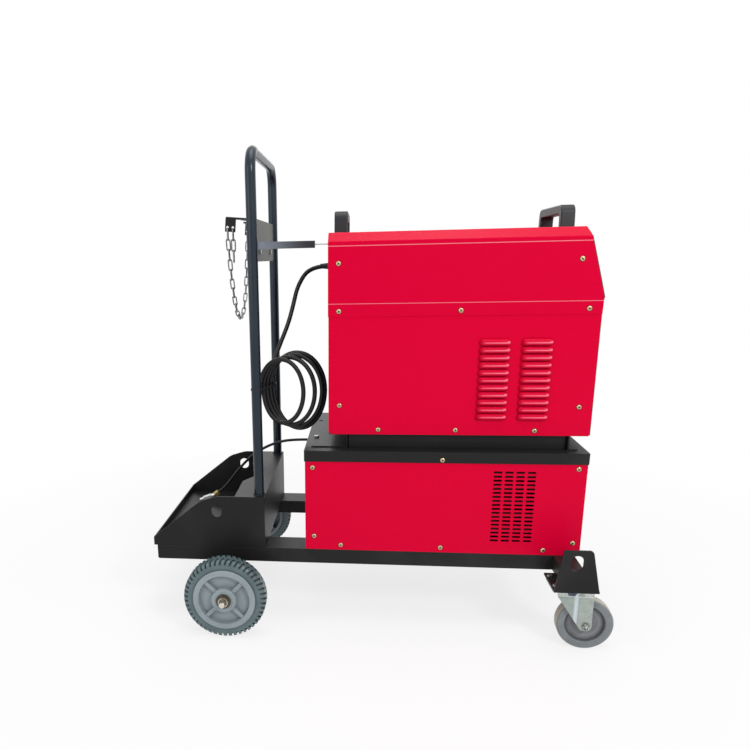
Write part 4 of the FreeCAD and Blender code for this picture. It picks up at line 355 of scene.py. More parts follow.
redCoat = {"shine": 0.18, "dust": 0.01, "dustColour": (0.8, 0.05, 0.12), "sheen": (1.0, 0.25, 0.35)}
blackCoat = {"colour": (0.0105, 0.0103, 0.0107), "gloss": 0.45, "shine": 0.2, "peel": 0.00008, "dust": 0.03}
foldLines = {  # the height of each painted line and how wide it is each way: painted highlights along each fold of the hood and the rails' top edge, painted shade along the tray's seam on the rails
    "hood": [(0.946, 0.0012), (0.815, 0.0009)],
    "rail": [(topOf("rail_near") - 0.0012, 0.0014)],
    "tray": [(topOf("rail_near") + 0.0006, 0.0016)],
}
finishes = {
    "red": powderCoat("redPowderCoat", (0.70, 0.0, 0.033), gloss=0.3, **redCoat),
    # painted highlights along the hood's two folds
    "redHood": powderCoat("redHoodPowderCoat", (0.68, 0.0, 0.033), gloss=0.32, **redCoat,
                          folds=foldLines["hood"]),
    "black": powderCoat("blackPowderCoat", **blackCoat),
    # painted highlight along the rails' rounded top edge
    "rail": powderCoat("blackRailCoat", **blackCoat, folds=foldLines["rail"],
                       foldColour=(0.030, 0.025, 0.020)),
    # painted shade: a black line along the tray's seam on the rails
    "tray": powderCoat("blackTrayCoat", **blackCoat, folds=foldLines["tray"], foldColour=(0.0, 0.0, 0.0)),
    "tube": powderCoat("blueBlackTubePaint", (0.010, 0.014, 0.021), gloss=0.26, shine=0.42, peel=0.00003,
                       dust=0.02, sheen=(0.72, 0.88, 1.0)),
    # painted reflection: the black-painted plate is given a mid grey for the light its face reflects
    "plate": powderCoat("greyPlateCoat", (0.085, 0.086, 0.076), gloss=0.5, shine=0.4, dust=0.05),
    "panel": powderCoat("blackPanelPaint", (0.010, 0.010, 0.011), gloss=0.5, dust=0.03),
    "zinc": plated("brightZinc", (0.42, 0.44, 0.42), (0.36, 0.37, 0.33)),
    "cup": plated("blueZincCup", (0.10, 0.13, 0.19), (0.05, 0.06, 0.09), rough=0.22, metal=0.6,
                  blotch=110, reach=0.004),
    "chain": plated("chainZinc", (0.30, 0.31, 0.33), (0.22, 0.22, 0.23), rough=0.34, blotch=150),
    "yellowZinc": plated("yellowZinc", (0.72, 0.55, 0.29), (0.55, 0.44, 0.27), rough=0.3, blotch=300,
                         reach=0.002),
    # painted shade: a dark brown for the walls and floor of each cross recess
    "recess": plated("screwRecess", (0.10, 0.07, 0.03), (0.06, 0.045, 0.02), rough=0.6, metal=0.2,
                     blotch=300, reach=0.002),
    "hub": moulded("greyHubPlastic", (0.285, 0.340, 0.362), rough=0.42, grain=380, depth=0.00005,
                   hollowShare=0.45),
    "tyre": rubberLike("blueGreyTyre", (0.092, 0.138, 0.148), rough=0.36, pale=(0.25, 0.33, 0.35),
                       dust=0.2, shine=0.5, groove=0.6),
    "plastic": moulded("blackMouldedPlastic", (0.016, 0.017, 0.02), rough=0.45),
    "cord": rubberLike("blackCableSheath", (0.008, 0.0078, 0.008), rough=0.42, pale=(0.06, 0.06, 0.06),
                       dust=0.05),
    "aluminium": plated("extrudedAluminium", (0.6, 0.61, 0.62), (0.52, 0.53, 0.55), rough=0.4),
    # the radiator's fins near black, which also paints the shade seen through the cooler's slots
    "darkFins": plated("blackenedFins", (0.03, 0.03, 0.032), (0.02, 0.02, 0.02), rough=0.5, metal=0.3),
    "core": plated("laminatedCore", (0.2, 0.17, 0.15), (0.25, 0.2, 0.16), rough=0.55),
    "board": moulded("circuitBoard", (0.02, 0.16, 0.07), rough=0.4, grain=900, depth=0.00003),
    "tank": moulded("milkyTank", (0.62, 0.63, 0.6), rough=0.35, grain=200, depth=0.00004),
}


# pressed louvres: a painted highlight along each ridge and round its front end, brighter towards the front,
# and painted shade at the rear end and under the lip
louvreSpec = {
    "columns": (641.7, 737.0), "rows": 11, "topZ": 722.5, "pitch": 17.65,
    "halfLength": 34.2, "halfHeight": 7.6, "depth": 6.6, "lipAngle": -48,
    "face": 200.0, "lift": 0.12, "proud": 0.4, "sheet": 0.9, "alongSteps": 30, "roundSteps": 14,
    # the coat: heights and widths in metres, stretches along a louvre from -1 at its rear end to 1
    "coat": ((0.66, 0.0, 0.031), (0.73, 0.0, 0.035)),
    "dull": (0.42, 0.0, 0.02), "dullShare": 0.5,
    "rearEnd": (-0.98, -0.7), "lip": (-0.0055, -0.0025),
    "crest": (1.0, 0.26, 0.38), "crestZ": -0.0003, "crestWidth": 0.0022,
    "crestStart": (-0.88, -0.55), "crestGain": (-0.6, 0.9), "leastCrest": 0.6,
    "frontEnd": (0.72, 0.92), "endRise": 0.0012, "endWidth": 0.0016,
    "sheen": (1.0, 0.35, 0.45),
}


def louvreCoat(name):
    s = Shade(name)
    c = louvreSpec
    spacing = (c["columns"][1] - c["columns"][0]) / 1000
    pitch = c["pitch"] / 1000
    highest = (c["topZ"] + c["pitch"] / 2) / 1000
    rearmost = atX(c["columns"][0]) - spacing / 2
    height = (0.5 - ((highest - s.axis("Z")) / pitch).maths("FRACT")) * pitch  # from a louvre's middle
    along = ((s.axis("X") - rearmost) / spacing).maths("FRACT") - 0.5
    along = along * (spacing / (c["halfLength"] / 1000))
    end = along.ramp(*c["frontEnd"])
    # painted highlight along each ridge, rising and widening round the front end
    crest = height.near(end * c["endRise"] + c["crestZ"], end * c["endWidth"] + c["crestWidth"])
    gain = along.ramp(*c["crestGain"]) * (1 - c["leastCrest"]) + c["leastCrest"]
    crest = crest * along.ramp(*c["crestStart"]) * gain
    fine = s.noise(**orangePeel)
    colour = s.mix(fine, *c["coat"])
    # painted shade towards the rear end and under the lip
    colour = s.mix((1 - along.ramp(*c["rearEnd"])) * c["dullShare"], colour, c["dull"])
    colour = s.mix((1 - height.ramp(*c["lip"])) * c["dullShare"], colour, c["dull"])
    colour = s.mix(crest, colour, c["crest"])
    return s.finish(Base_Color=colour, Roughness=0.3 - crest * 0.1 + fine.swing(0.06),
                    Specular_IOR_Level=0.2, Specular_Tint=(*c["sheen"], 1),
                    Normal=s.bump(fine, depth=0.00006))


finishes["redLouvre"] = louvreCoat("redLouvreCoat")


# caster wheel: grey rim, darker hub disc, pale tread round the outside, with painted light: a highlight
# round the axle, a light ring across the disc, and a dark ring of shade just inside the rim
casterLook = {
    "disc": ((0.150, 0.154, 0.164), (0.20, 0.206, 0.218)),
    "rings": [(0.0335, 0.005, (0.25, 0.27, 0.29)), (0.044, 0.003, (0.03, 0.03, 0.034))], "ringShare": 0.8,
    "boss": (0.30, 0.33, 0.36), "bossRadius": 0.0165,
    "rim": ((0.175, 0.195, 0.205), (0.22, 0.24, 0.25)), "rimFrom": (0.0455, 0.0465),
    "tread": ((0.50, 0.48, 0.40), (0.38, 0.36, 0.31)), "treadFrom": (0.0635, 0.0645),
}


def casterRubber(name, axle, across):
    s = Shade(name)
    c = casterLook
    radius = s.around(axle, across)[1]
    cloud = s.noise(30, detail=4)
    fine = s.noise(600, detail=2, roughness=0.5)
    mottle = cloud.ramp()
    colour = s.mix(mottle, *c["disc"])
    # painted light: a light ring across the disc and a dark ring of shade just inside the rim
    for level, width, shade in c["rings"]:
        colour = s.mix(radius.near(level, width) * c["ringShare"], colour, shade)
    # painted highlight round the axle
    colour = s.mix(radius < c["bossRadius"], colour, c["boss"])
    colour = s.mix(radius.ramp(*c["rimFrom"]), colour, s.mix(mottle, *c["rim"]))
    colour = s.mix(radius.ramp(*c["treadFrom"]), colour, s.mix(mottle, *c["tread"]))
    return s.finish(Base_Color=colour, Roughness=0.5 + cloud.swing(0.2), Normal=s.bump(fine, depth=0.00005))


# caster fork: streaky zinc with painted highlights along the fold, below the top and over the dome above,
# painted shade on the rear side and in corners, and an axle bolt mottled dark and bright
forkLook = {
    "zinc": ((0.35, 0.40, 0.37), (0.42, 0.47, 0.42)),
    "streak": (0.22, 0.26, 0.26), "streakStretch": (1, 1, 0.12), "streakShare": 0.08,
    "rear": (0.28, 0.34, 0.34), "rearFrom": 0.022, "rearShare": 0.35,
    "crease": (0.66, 0.76, 0.82), "creaseRise": (-0.011, -0.005), "creaseFall": (-0.001, 0.001),
    "creaseShare": 0.8,
    "shoulder": (0.86, 0.88, 0.84), "shoulderDrop": 0.0125, "shoulderWidth": 0.0013, "shoulderShare": 0.85,
    "neck": (0.74, 0.80, 0.78), "neckDrop": 0.0105, "neckShare": 0.6,
    "hollow": (0.10, 0.11, 0.11), "hollowReach": 0.006, "hollowShare": 0.6,
    "bolt": ((0.10, 0.10, 0.10), (0.62, 0.64, 0.62)), "boltSide": 0.0257, "boltRadius": 0.0125,
}


def forkZinc(name, axle, across, top):
    s = Shade(name)
    c = forkLook
    side, radius = s.around(axle, across)
    along = s.dot(s.offset(axle), (across[1], -across[0], 0)) + c["rearFrom"]
    drop = s.axis("Z") - top
    cloud = s.noise(70, detail=4)
    streak = s.noise(320, stretch=c["streakStretch"])
    zinc = s.mix(cloud.ramp(0.35, 0.7), *c["zinc"])
    zinc = s.mix(streak.ramp(0.5, 0.8) * c["streakShare"], zinc, c["streak"])
    # painted shade on the rear side of the fold
    zinc = s.mix((along < 0) * c["rearShare"], zinc, c["rear"])
    # painted highlights along the fold, in a line below the top, and over the dome above it
    crease = along.ramp(*c["creaseRise"]) * (1 - along.ramp(*c["creaseFall"]))
    zinc = s.mix(crease * c["creaseShare"], zinc, c["crease"])
    shoulder = drop.near(-c["shoulderDrop"], c["shoulderWidth"])
    zinc = s.mix(shoulder * c["shoulderShare"], zinc, c["shoulder"])
    neck = drop.ramp(-c["shoulderDrop"], -c["neckDrop"]) * cloud.ramp(0.4, 0.6)
    zinc = s.mix(neck * c["neckShare"], zinc, c["neck"])
    # painted shade in corners and recesses
    zinc = s.mix(s.hollow(c["hollowReach"]) * c["hollowShare"], zinc, c["hollow"])
    steel = s.mix(s.noise(260).ramp(0.4, 0.65), *c["bolt"])
    bolt = (abs(side) > c["boltSide"]) * (radius < c["boltRadius"])
    return s.finish(Base_Color=s.mix(bolt, zinc, steel), Metallic=0.55, Roughness=0.3 + cloud.swing(0.25),
                    Normal=s.bump(streak, depth=0.00005))


# rear axle: nickel collar and shaft end, with painted shade in the gaps between them, a painted highlight
# ring near the collar's edge, and painted shade, mottled dark brown, over the washer beyond
axleLook = {
    "collar": ((0.50, 0.47, 0.40), (0.34, 0.31, 0.25)),
    "shaft": (0.66, 0.64, 0.58), "shaftRadius": 0.0066,
    "rings": [(0.0074, 0.0008, (0.16, 0.14, 0.11)), (0.0090, 0.0011, (0.01, 0.01, 0.008)),
              (0.0118, 0.0006, (0.80, 0.78, 0.70))],
    "washer": ((0.05, 0.04, 0.03), (0.14, 0.115, 0.085)), "washerFrom": 0.0128,
    "hollow": (0.02, 0.018, 0.015), "hollowReach": 0.005, "hollowShare": 0.8,
}


def axleNickel(name, middle):
    s = Shade(name)
    c = axleLook
    radius = s.flatLength(s.offset(middle), (1, 0, 1))
    cloud = s.noise(160, detail=4)
    colour = s.mix(cloud.ramp(0.35, 0.65), *c["collar"])
    colour = s.mix(radius < c["shaftRadius"], colour, c["shaft"])
    # painted shade in two dark rings at the gaps, and a painted highlight ring near the collar's edge
    for level, width, shade in c["rings"]:
        colour = s.mix(radius.near(level, width), colour, shade)
    # painted shade over the washer: dark brown, mottled
    colour = s.mix(radius > c["washerFrom"], colour, s.mix(cloud, *c["washer"]))
    # painted shade in corners and recesses
    colour = s.mix((s.hollow(c["hollowReach"]) * c["hollowShare"]).clamped(), colour, c["hollow"])
    return s.finish(Base_Color=colour, Metallic=0.7, Roughness=0.24 + cloud.swing(0.2),
                    Normal=s.bump(cloud, depth=0.00005))


# stay arm: black, with a painted blue-grey highlight that fades to dark towards its black end cap, and a
# bright rod beyond it
armLook = {
    "paint": ((0.200, 0.225, 0.275), (0.016, 0.014, 0.018)), "darkens": (80, 221),
    "cloud": (0.05, 0.055, 0.065), "cloudShare": 0.15,
    "cap": (0.006, 0.006, 0.006), "capX": 221.1,
    "rod": (0.46, 0.47, 0.47), "rodX": 223.1,
}


def armPaint(name):
    s = Shade(name)
    c = armLook
    x = s.axis("X")
    cloud = s.noise(60)
    fine = s.noise(**orangePeel)
    start, end = c["darkens"]
    # painted highlight: blue-grey at the inner end, fading to dark towards the end cap
    colour = s.mix(x.ramp(atX(start), atX(end)), *c["paint"])
    colour = s.mix(cloud.ramp(0.4, 0.7) * c["cloudShare"], colour, c["cloud"])
    colour = s.mix(x > atX(c["capX"]), colour, c["cap"])
    colour = s.mix(x > atX(c["rodX"]), colour, c["rod"])
    return s.finish(Base_Color=colour, Roughness=0.38 + fine.swing(0.1), Specular_IOR_Level=0.3,
                    Normal=s.bump(fine, depth=0.00004))


# hose fitting: a brass nut on the hose, then bright plated brass
fittingLook = {
    "bend": (-108, 115.3, 231.4), "slope": (-0.937, -0.02, -0.35), "nutEnd": 0.0012,
    "brass": ((0.36, 0.27, 0.11), (0.50, 0.40, 0.18)), "silver": ((0.62, 0.62, 0.60), (0.80, 0.80, 0.78)),
}


def fittingMetal(name):
    s = Shade(name)
    c = fittingLook
    past = s.dot(s.offset(at(*c["bend"])), c["slope"]) > c["nutEnd"]
    cloud = s.noise(180)
    mottle = cloud.ramp()
    colour = s.mix(past, s.mix(mottle, *c["brass"]), s.mix(mottle, *c["silver"]))
    return s.finish(Base_Color=colour, Metallic=0.7, Roughness=0.3 + cloud.swing(0.2),
                    Normal=s.bump(cloud, depth=0.00005))


# front panel: black paint, the display's glass in a grey rim, and the printed scale round the knob
panelLook = {
    "foot": (877.5, 0, 822.5), "rise": (-0.2661, 0, 0.9639), "out": (0.9639, 0, 0.2661), "skin": 0.0006,
    "paint": ((0.009, 0.009, 0.010), (0.013, 0.013, 0.014)),
    "displayY": -0.060, "displayRise": 0.088, "halfWidth": 0.060, "halfHeight": 0.024,
    "edge": 0.0005, "rim": 0.004, "rimColour": (0.045, 0.047, 0.05), "glassColour": (0.004, 0.007, 0.006),
    "knobY": 0.070, "knobRise": 0.092,
    "ticks": 16, "tickFrom": 0.0225, "tickTo": 0.0275, "tickHalf": 0.07, "tickEnd": 2.45,
    "tickColour": (0.62, 0.62, 0.60),
}


def frontPanelPaint(name):
    s = Shade(name)
    c = panelLook
    offset = s.offset(at(*c["foot"]))
    y = s.axis("Y")
    rise = s.dot(offset, c["rise"])
    out = s.dot(offset, c["out"])
    fine = s.noise(**orangePeel)
    across = abs(y - c["displayY"])
    up = abs(rise - c["displayRise"])
    rim = (out > c["skin"]) * (across < c["halfWidth"] + c["edge"])
    rim = rim * (up < c["halfHeight"] + c["edge"])
    glass = rim * (across < c["halfWidth"] - c["rim"]) * (up < c["halfHeight"] - c["rim"])
    knobRise = rise - c["knobRise"]
    knobY = y - c["knobY"]
    radius = (knobRise * knobRise + knobY * knobY).root()
    angle = knobY.maths("ARCTAN2", knobRise)
    ticks = (angle * (c["ticks"] / (2 * math.pi))).maths("PINGPONG", 0.5) < c["tickHalf"]
    ticks = ticks * (radius > c["tickFrom"]) * (radius < c["tickTo"])
    ticks = ticks * (abs(angle) < c["tickEnd"]) * (abs(out) < c["skin"])
    colour = s.mix(fine, *c["paint"])
    colour = s.mix(ticks, colour, c["tickColour"])
    colour = s.mix(rim, colour, c["rimColour"])
    colour = s.mix(glass, colour, c["glassColour"])
    return s.finish(Base_Color=colour, Roughness=0.5 - glass * 0.42 + fine.swing(0.06),
                    Specular_IOR_Level=0.4, Normal=s.bump(fine * (1 - glass), depth=0.00006))


# knob: black plastic with a white pointer line up its face
knobLook = {
    "plastic": ((0.015, 0.016, 0.018), (0.022, 0.022, 0.024)), "grain": 520,
    "pointer": (0.7, 0.7, 0.68), "halfWidth": 0.0009, "from": 0.004, "to": 0.0185, "face": 0.0165,
}


def knobPlastic(name):
    s = Shade(name)
    c = knobLook
    offset = s.offset(at(*panelLook["foot"]))
    rise = s.dot(offset, panelLook["rise"]) - panelLook["knobRise"]
    across = abs(s.axis("Y") - panelLook["knobY"])
    line = (across < c["halfWidth"]) * (rise > c["from"]) * (rise < c["to"])
    line = line * (s.dot(offset, panelLook["out"]) > c["face"])
    cells = s.cells(c["grain"])
    colour = s.mix(line, s.mix(s.noise(12), *c["plastic"]), c["pointer"])
    return s.finish(Base_Color=colour, Roughness=0.42 + cells.swing(0.12),
                    Normal=s.bump(cells, depth=0.00008))


# sockets: black collars round bright metal inserts, plain nickel couplings below them, and painted shade in
# corners and recesses
socketLook = {
    "inserts": [((874.5, 95, 610), 0.0205), ((874.5, -95, 610), 0.0130), ((874.5, 0, 700), 0.0100)],
    "brass": ((0.62, 0.46, 0.20), (0.50, 0.38, 0.18)),
    "collar": (0.014, 0.014, 0.016), "collarRadius": 0.034,
    "nickel": (0.55, 0.55, 0.52), "nickelBelow": 0.3,
    "hollow": (0.03, 0.025, 0.02), "hollowReach": 0.008, "hollowShare": 0.7, "metal": 0.85,
}


def socketMetal(name):
    s = Shade(name)
    c = socketLook
    cloud = s.noise(160, detail=4)
    rings = []
    for middle, insert in c["inserts"]:
        radius = s.flatLength(s.offset(at(*middle)), (0, 1, 1))
        rings.append((radius > insert) * (radius < c["collarRadius"]))
    collar = sum(rings).clamped()
    colour = s.mix(cloud.ramp(), *c["brass"])
    colour = s.mix(s.axis("Z") < c["nickelBelow"], colour, c["nickel"])
    # painted shade in corners and recesses
    colour = s.mix(s.hollow(c["hollowReach"]) * c["hollowShare"], colour, c["hollow"])
    colour = s.mix(collar, colour, c["collar"])
    return s.finish(Base_Color=colour, Metallic=c["metal"] - collar * c["metal"],
                    Roughness=0.32 + collar * 0.14 + cloud.swing(0.2), Normal=s.bump(cloud, depth=0.00005))


nodeFinish = {
    "red": ["cooler_side_near", "cooler_side_far", "source_side_near", "source_side_far"],
    "redHood": ["source_hood"],
    "black": ["cross_tubes", "caster_bracket_near", "caster_bracket_far", "bottle_yoke", "axle_housing",
              "cooler_lid", "unit_brackets", "source_base", "cooler_base"],
    "rail": ["rail_near", "rail_far"],
    "tray": ["bottle_tray"],
    "tube": ["handle_tube"],
    "plate": ["handle_cross_plate"],
    "panel": ["cooler_front_panel", "cooler_rear_panel", "source_rear_panel"],
    "chain": ["bottle_chain", "chain_tail"],
    "zinc": ["caster_mounts", "cart_bolts", "mode_switch"],
    "yellowZinc": ["cooler_screws", "source_screws"],
    "hub": ["rear_hub_near", "rear_hub_far"],
    "tyre": ["rear_tyre_near", "rear_tyre_far"],
    "plastic": ["cooler_fan_rotor", "filler_cap", "cooler_switch", "top_handle_rear", "top_handle_front",
                "source_fan_rotor", "breaker_lever", "coil_strap", "coolant_pump"],
    "cord": ["mains_cable", "mains_coil", "gas_hose"],
    "aluminium": ["heatsink"],
    "darkFins": ["radiator"],
    "core": ["transformer"],
    "board": ["control_board"],
    "tank": ["coolant_tank"],
}
casterSpec = {"x": 835.0, "y": 292.5, "trail": 37.0, "radius": 65.0, "turns": {"near": 4.0, "far": -7.0}}
sides = {"near": -1, "far": 1}  # which way Y points on each side


def paint(name, material):
    nodes[name].data.materials.clear()
    nodes[name].data.materials.append(material)


def paintCaster(sideName):  # each caster is swivelled a little, so its axle lies askew
    c = casterSpec
    angle = math.radians(c["turns"][sideName])
    axle = at(c["x"] + c["trail"] * math.cos(angle),
              sides[sideName] * c["y"] - c["trail"] * math.sin(angle), c["radius"])
    across = (math.sin(angle), math.cos(angle), 0)
    fork = "caster_fork_" + sideName
    paint("caster_wheel_" + sideName, casterRubber("casterRubber_" + sideName, axle, across))
    paint(fork, forkZinc("forkZinc_" + sideName, axle, across, topOf(fork)))


for finishName, names in nodeFinish.items():
    for name in names:
        paint(name, finishes[finishName])
for sideName in sides:
    paintCaster(sideName)
paint("rear_axle", axleNickel("axleNickel", middleOf("rear_axle")))
paint("stay_arm", armPaint("armPaint"))
paint("hose_fitting", fittingMetal("fittingMetal"))
paint("source_front_panel", frontPanelPaint("frontPanelPaint"))
paint("current_knob", knobPlastic("knobPlastic"))
paint("panel_sockets", socketMetal("socketMetal"))
print("finishes made:", len(bpy.data.materials))


# what the pieces are made with
def newPiece(name, data, body):
    obj = bpy.data.objects.new(name, data)
    bpy.context.scene.collection.objects.link(obj)
    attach(obj, body)
    return obj


def meshFrom(bm, name, finishNames=()):
    mesh = bpy.data.meshes.new(name)
    bm.to_mesh(mesh)
    bm.free()
    for finishName in finishNames:
        mesh.materials.append(finishes[finishName])
    return mesh


def smooth(mesh, angle=35):
    for polygon in mesh.polygons:
        polygon.use_smooth = True
    mesh.set_sharp_from_angle(angle=math.radians(angle))
    return mesh


def lathe(profile, steps, name, finishNames=()):  # turns (radius, height) points about Z
    bm = bmesh.new()
    rings = []
    for radius, height in profile:
        ring = []
        for n in range(steps if radius else 1):
            turn = 2 * math.pi * n / steps
            ring.append(bm.verts.new((radius * math.cos(turn), radius * math.sin(turn), height)))
        rings.append(ring)
    for low, high in zip(rings, rings[1:]):
        for n in range(steps):
            corners = [low[n % len(low)], low[(n + 1) % len(low)]]
            corners += [high[(n + 1) % len(high)], high[n % len(high)]]
            corners = list(dict.fromkeys(corners))  # a point on the axis comes once
            if len(corners) > 2:
                bm.faces.new(corners)
    for ring in (rings[0], rings[-1]):
        if len(ring) > 1:
            bm.faces.new(ring)
    bmesh.ops.recalc_face_normals(bm, faces=bm.faces)
    return meshFrom(bm, name, finishNames)


def ringTube(name, stations, around, finishName):  # a closed tube through (centre, way across, radius)
    up = Vector((0, 0, 1))
    turns = [2 * math.pi * k / around for k in range(around)]
    bm = bmesh.new()
    rings = []
    for centre, across, radius in stations:
        ways = [across * math.cos(turn) + up * math.sin(turn) for turn in turns]
        rings.append([bm.verts.new(centre + way * radius) for way in ways])
    for n, ring in enumerate(rings):
        after = rings[(n + 1) % len(rings)]
        for k in range(around):
            beside = (k + 1) % around
            bm.faces.new((ring[k], ring[beside], after[beside], after[k]))
    bmesh.ops.recalc_face_normals(bm, faces=bm.faces)
    return meshFrom(bm, name, [finishName])


def looseParts(name):  # the vertices of each separate solid of a node
    bm = bmesh.new()
    bm.from_mesh(nodes[name].data)
    bmesh.ops.remove_doubles(bm, verts=bm.verts, dist=1e-6)
    parts = []
    seen = set()
    for start in bm.verts:
        if start in seen:
            continue
        seen.add(start)
        waiting = [start]
        points = []
        while waiting:
            vert = waiting.pop()
            points.append(tuple(vert.co))
            for edge in vert.link_edges:
                other = edge.other_vert(vert)
                if other not in seen:
                    seen.add(other)
                    waiting.append(other)
        parts.append(numpy.array(points))
    bm.free()
    return parts


def partFrame(points):  # centre of a solid and its axes, longest first
    centre = (points.min(axis=0) + points.max(axis=0)) / 2
    offsets = points - points.mean(axis=0)
    vectors = numpy.linalg.eigh(offsets.T @ offsets)[1]
    return Vector(centre), [Vector(vectors[:, n]) for n in (2, 1, 0)]


def copies(name, mesh, spots, body):  # one piece with a copy of the mesh at each matrix
    bm = bmesh.new()
    for spot in spots:
        piece = mesh.copy()
        piece.transform(spot)
        bm.from_mesh(piece)
        bpy.data.meshes.remove(piece)
    whole = meshFrom(bm, name)
    for slot in mesh.materials:
        whole.materials.append(slot)
    return newPiece(name, smooth(whole), body)


def carved(mesh, cutter):  # the first mesh less the second
    first = bpy.data.objects.new("blank", mesh)
    second = bpy.data.objects.new("cutter", cutter)
    for obj in (first, second):
        bpy.context.scene.collection.objects.link(obj)
    cut = first.modifiers.new("cut", "BOOLEAN")
    cut.operation = "DIFFERENCE"
    cut.solver = "EXACT"
    cut.object = second
    bpy.context.view_layer.update()
    made = bpy.data.meshes.new_from_object(first.evaluated_get(bpy.context.evaluated_depsgraph_get()))
    bpy.data.objects.remove(first)
    bpy.data.objects.remove(second)
    return made


# case screws: pan heads with a cross recess painted dark brown as shade, on a thin black washer whose dark
# ring also paints the shade round each head
screwSpec = {
    "radius": 0.0056, "height": 0.0026, "lift": 0.0002, "sides": 28,
    "dome": [(1, 0.3), (0.96, 0.5), (0.85, 0.72), (0.66, 0.88), (0.4, 0.97), (0, 1)],  # shares of both
    "recess": 0.0066, "slot": 0.0019, "depth": 0.0014, "crossTurn": 0.6,
    "washer": 0.0064, "washerHeight": 0.0005, "turnEach": 1.7,
}


def crossSlot(turn):
    c = screwSpec
    bm = bmesh.new()
    box = bmesh.ops.create_cube(bm, size=1)["verts"]
    bmesh.ops.scale(bm, verts=box, vec=(c["recess"], c["slot"], c["depth"] * 2))
    bmesh.ops.rotate(bm, verts=box, cent=(0, 0, 0), matrix=Matrix.Rotation(turn, 3, "Z"))
    bmesh.ops.translate(bm, verts=box, vec=(0, 0, c["height"]))
    return meshFrom(bm, "recessSlot")


def screwMesh():
    c = screwSpec
    dome = [(c["radius"] * share, c["height"] * rise) for share, rise in c["dome"]]
    head = lathe([(0, c["lift"]), (c["radius"], c["lift"])] + dome, c["sides"], "screwHead")
    for turn in (c["crossTurn"], c["crossTurn"] + math.pi / 2):
        head = carved(head, crossSlot(turn))
    print("screw head faces:", len(head.polygons))
    # the black washer's dark ring round each head is also painted shade
    washerEdge = [(c["washer"], 0), (c["washer"], c["washerHeight"])]
    washer = lathe([(0, 0)] + washerEdge + [(0, c["washerHeight"])], c["sides"], "washer")
    bm = bmesh.new()
    bm.from_mesh(head)
    headFaces = len(bm.faces)
    bm.from_mesh(washer)
    whole = meshFrom(bm, "caseScrew", ["yellowZinc", "panel", "recess"])
    # the recess walls and floor take the painted shade
    floor = c["height"] - c["depth"]
    for n, polygon in enumerate(whole.polygons):
        middle = polygon.center
        within = Vector(middle[:2]).length < c["recess"] / 2 and middle.z > floor
        wall = within and abs(polygon.normal.z) < 0.5
        bottom = abs(middle.z - floor) < c["lift"] and polygon.normal.z > 0.9
        polygon.material_index = 1 if n >= headFaces else 2 if wall or bottom else 0
    return whole


def screwSpots(name):
    c = screwSpec
    spots = []
    for n, points in enumerate(looseParts(name)):
        centre, axes = partFrame(points)
        out = axes[2] if axes[2].y * centre.y > 0 else -axes[2]
        turn = out.to_track_quat("Z", "X").to_matrix().to_4x4() @ Matrix.Rotation(c["turnEach"] * n, 4, "Z")
        spots.append(Matrix.Translation(centre - out * c["height"] / 2) @ turn)
    return spots


screw = screwMesh()
for name, pieceName in (("source_screws", "sourceScrews"), ("cooler_screws", "coolerScrews")):
    piece = copies(pieceName, screw, screwSpots(name), "cart")
    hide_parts(name)
print("screws driven")


# side panels: the solid's own sheet, its louvres pressed as rounded hoods that open downwards
def louvreHood(bm, x, z, sign):
    c = louvreSpec
    run = c["halfLength"] - c["halfHeight"]
    rows = []
    for n in range(c["roundSteps"] + 1):
        angle = math.radians(90 + (c["lipAngle"] - 90) * n / c["roundSteps"])
        height = c["halfHeight"] * math.sin(angle)
        reach = run + c["halfHeight"] * math.cos(angle)
        row = []
        for k in range(c["alongSteps"] + 1):
            along = -reach * math.cos(math.pi * k / c["alongSteps"])
            over = max(0, abs(along) - run) / c["halfHeight"]
            out = c["depth"] * math.sqrt(max(0, 1 - over * over - (height / c["halfHeight"]) ** 2))
            row.append(bm.verts.new(at(x + along, sign * (c["face"] + c["lift"] + out), z + height)))
        rows.append(row)
    for high, low in zip(rows, rows[1:]):
        for k in range(c["alongSteps"]):
            corners = (high[k], high[k + 1], low[k + 1], low[k])
            bm.faces.new(corners if sign < 0 else corners[::-1])


def sidePanel(name, sign):
    c = louvreSpec
    bm = bmesh.new()
    bm.from_mesh(nodes[name].data)
    proud = (c["face"] + c["proud"]) / 1000
    gone = [face for face in bm.faces if face.calc_center_median().y * sign > proud]
    bmesh.ops.delete(bm, geom=gone, context="FACES")
    sheetFaces = len(bm.faces)
    hoods = bmesh.new()
    for x in c["columns"]:
        for row in range(c["rows"]):
            louvreHood(hoods, x, c["topZ"] - row * c["pitch"], sign)
    hoods.normal_update()
    bmesh.ops.solidify(hoods, geom=hoods.faces, thickness=c["sheet"] / 1000)
    bmesh.ops.recalc_face_normals(hoods, faces=hoods.faces)
    pressed = meshFrom(hoods, "louvreHoods")
    bm.from_mesh(pressed)
    bpy.data.meshes.remove(pressed)
    mesh = meshFrom(bm, name, ["red", "redLouvre"])
    for polygon in mesh.polygons:
        polygon.material_index = 0 if polygon.index < sheetFaces else 1
    print(name, "sheet faces kept:", sheetFaces, "hood faces dropped:", len(gone))
    return smooth(mesh, angle=30)


for sideName, sign in sides.items():
    name = "source_side_" + sideName
    piece = newPiece("louvredSide_" + sideName, sidePanel(name, sign), "cart")
    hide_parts(name)
print("louvres pressed")


# chain: welded links of round wire, where the solid's links hang
linkSpec = {
    "wire": 0.0016, "halfLength": 0.0144, "halfWidth": 0.0044, "around": 10, "bendSteps": 8,
    "stations": (0.7, 0.3, 0.12, -0.12, -0.3, -0.7),  # along each straight side, as shares of its half
    "weld": 1.16, "weldHalf": 0.2,
}


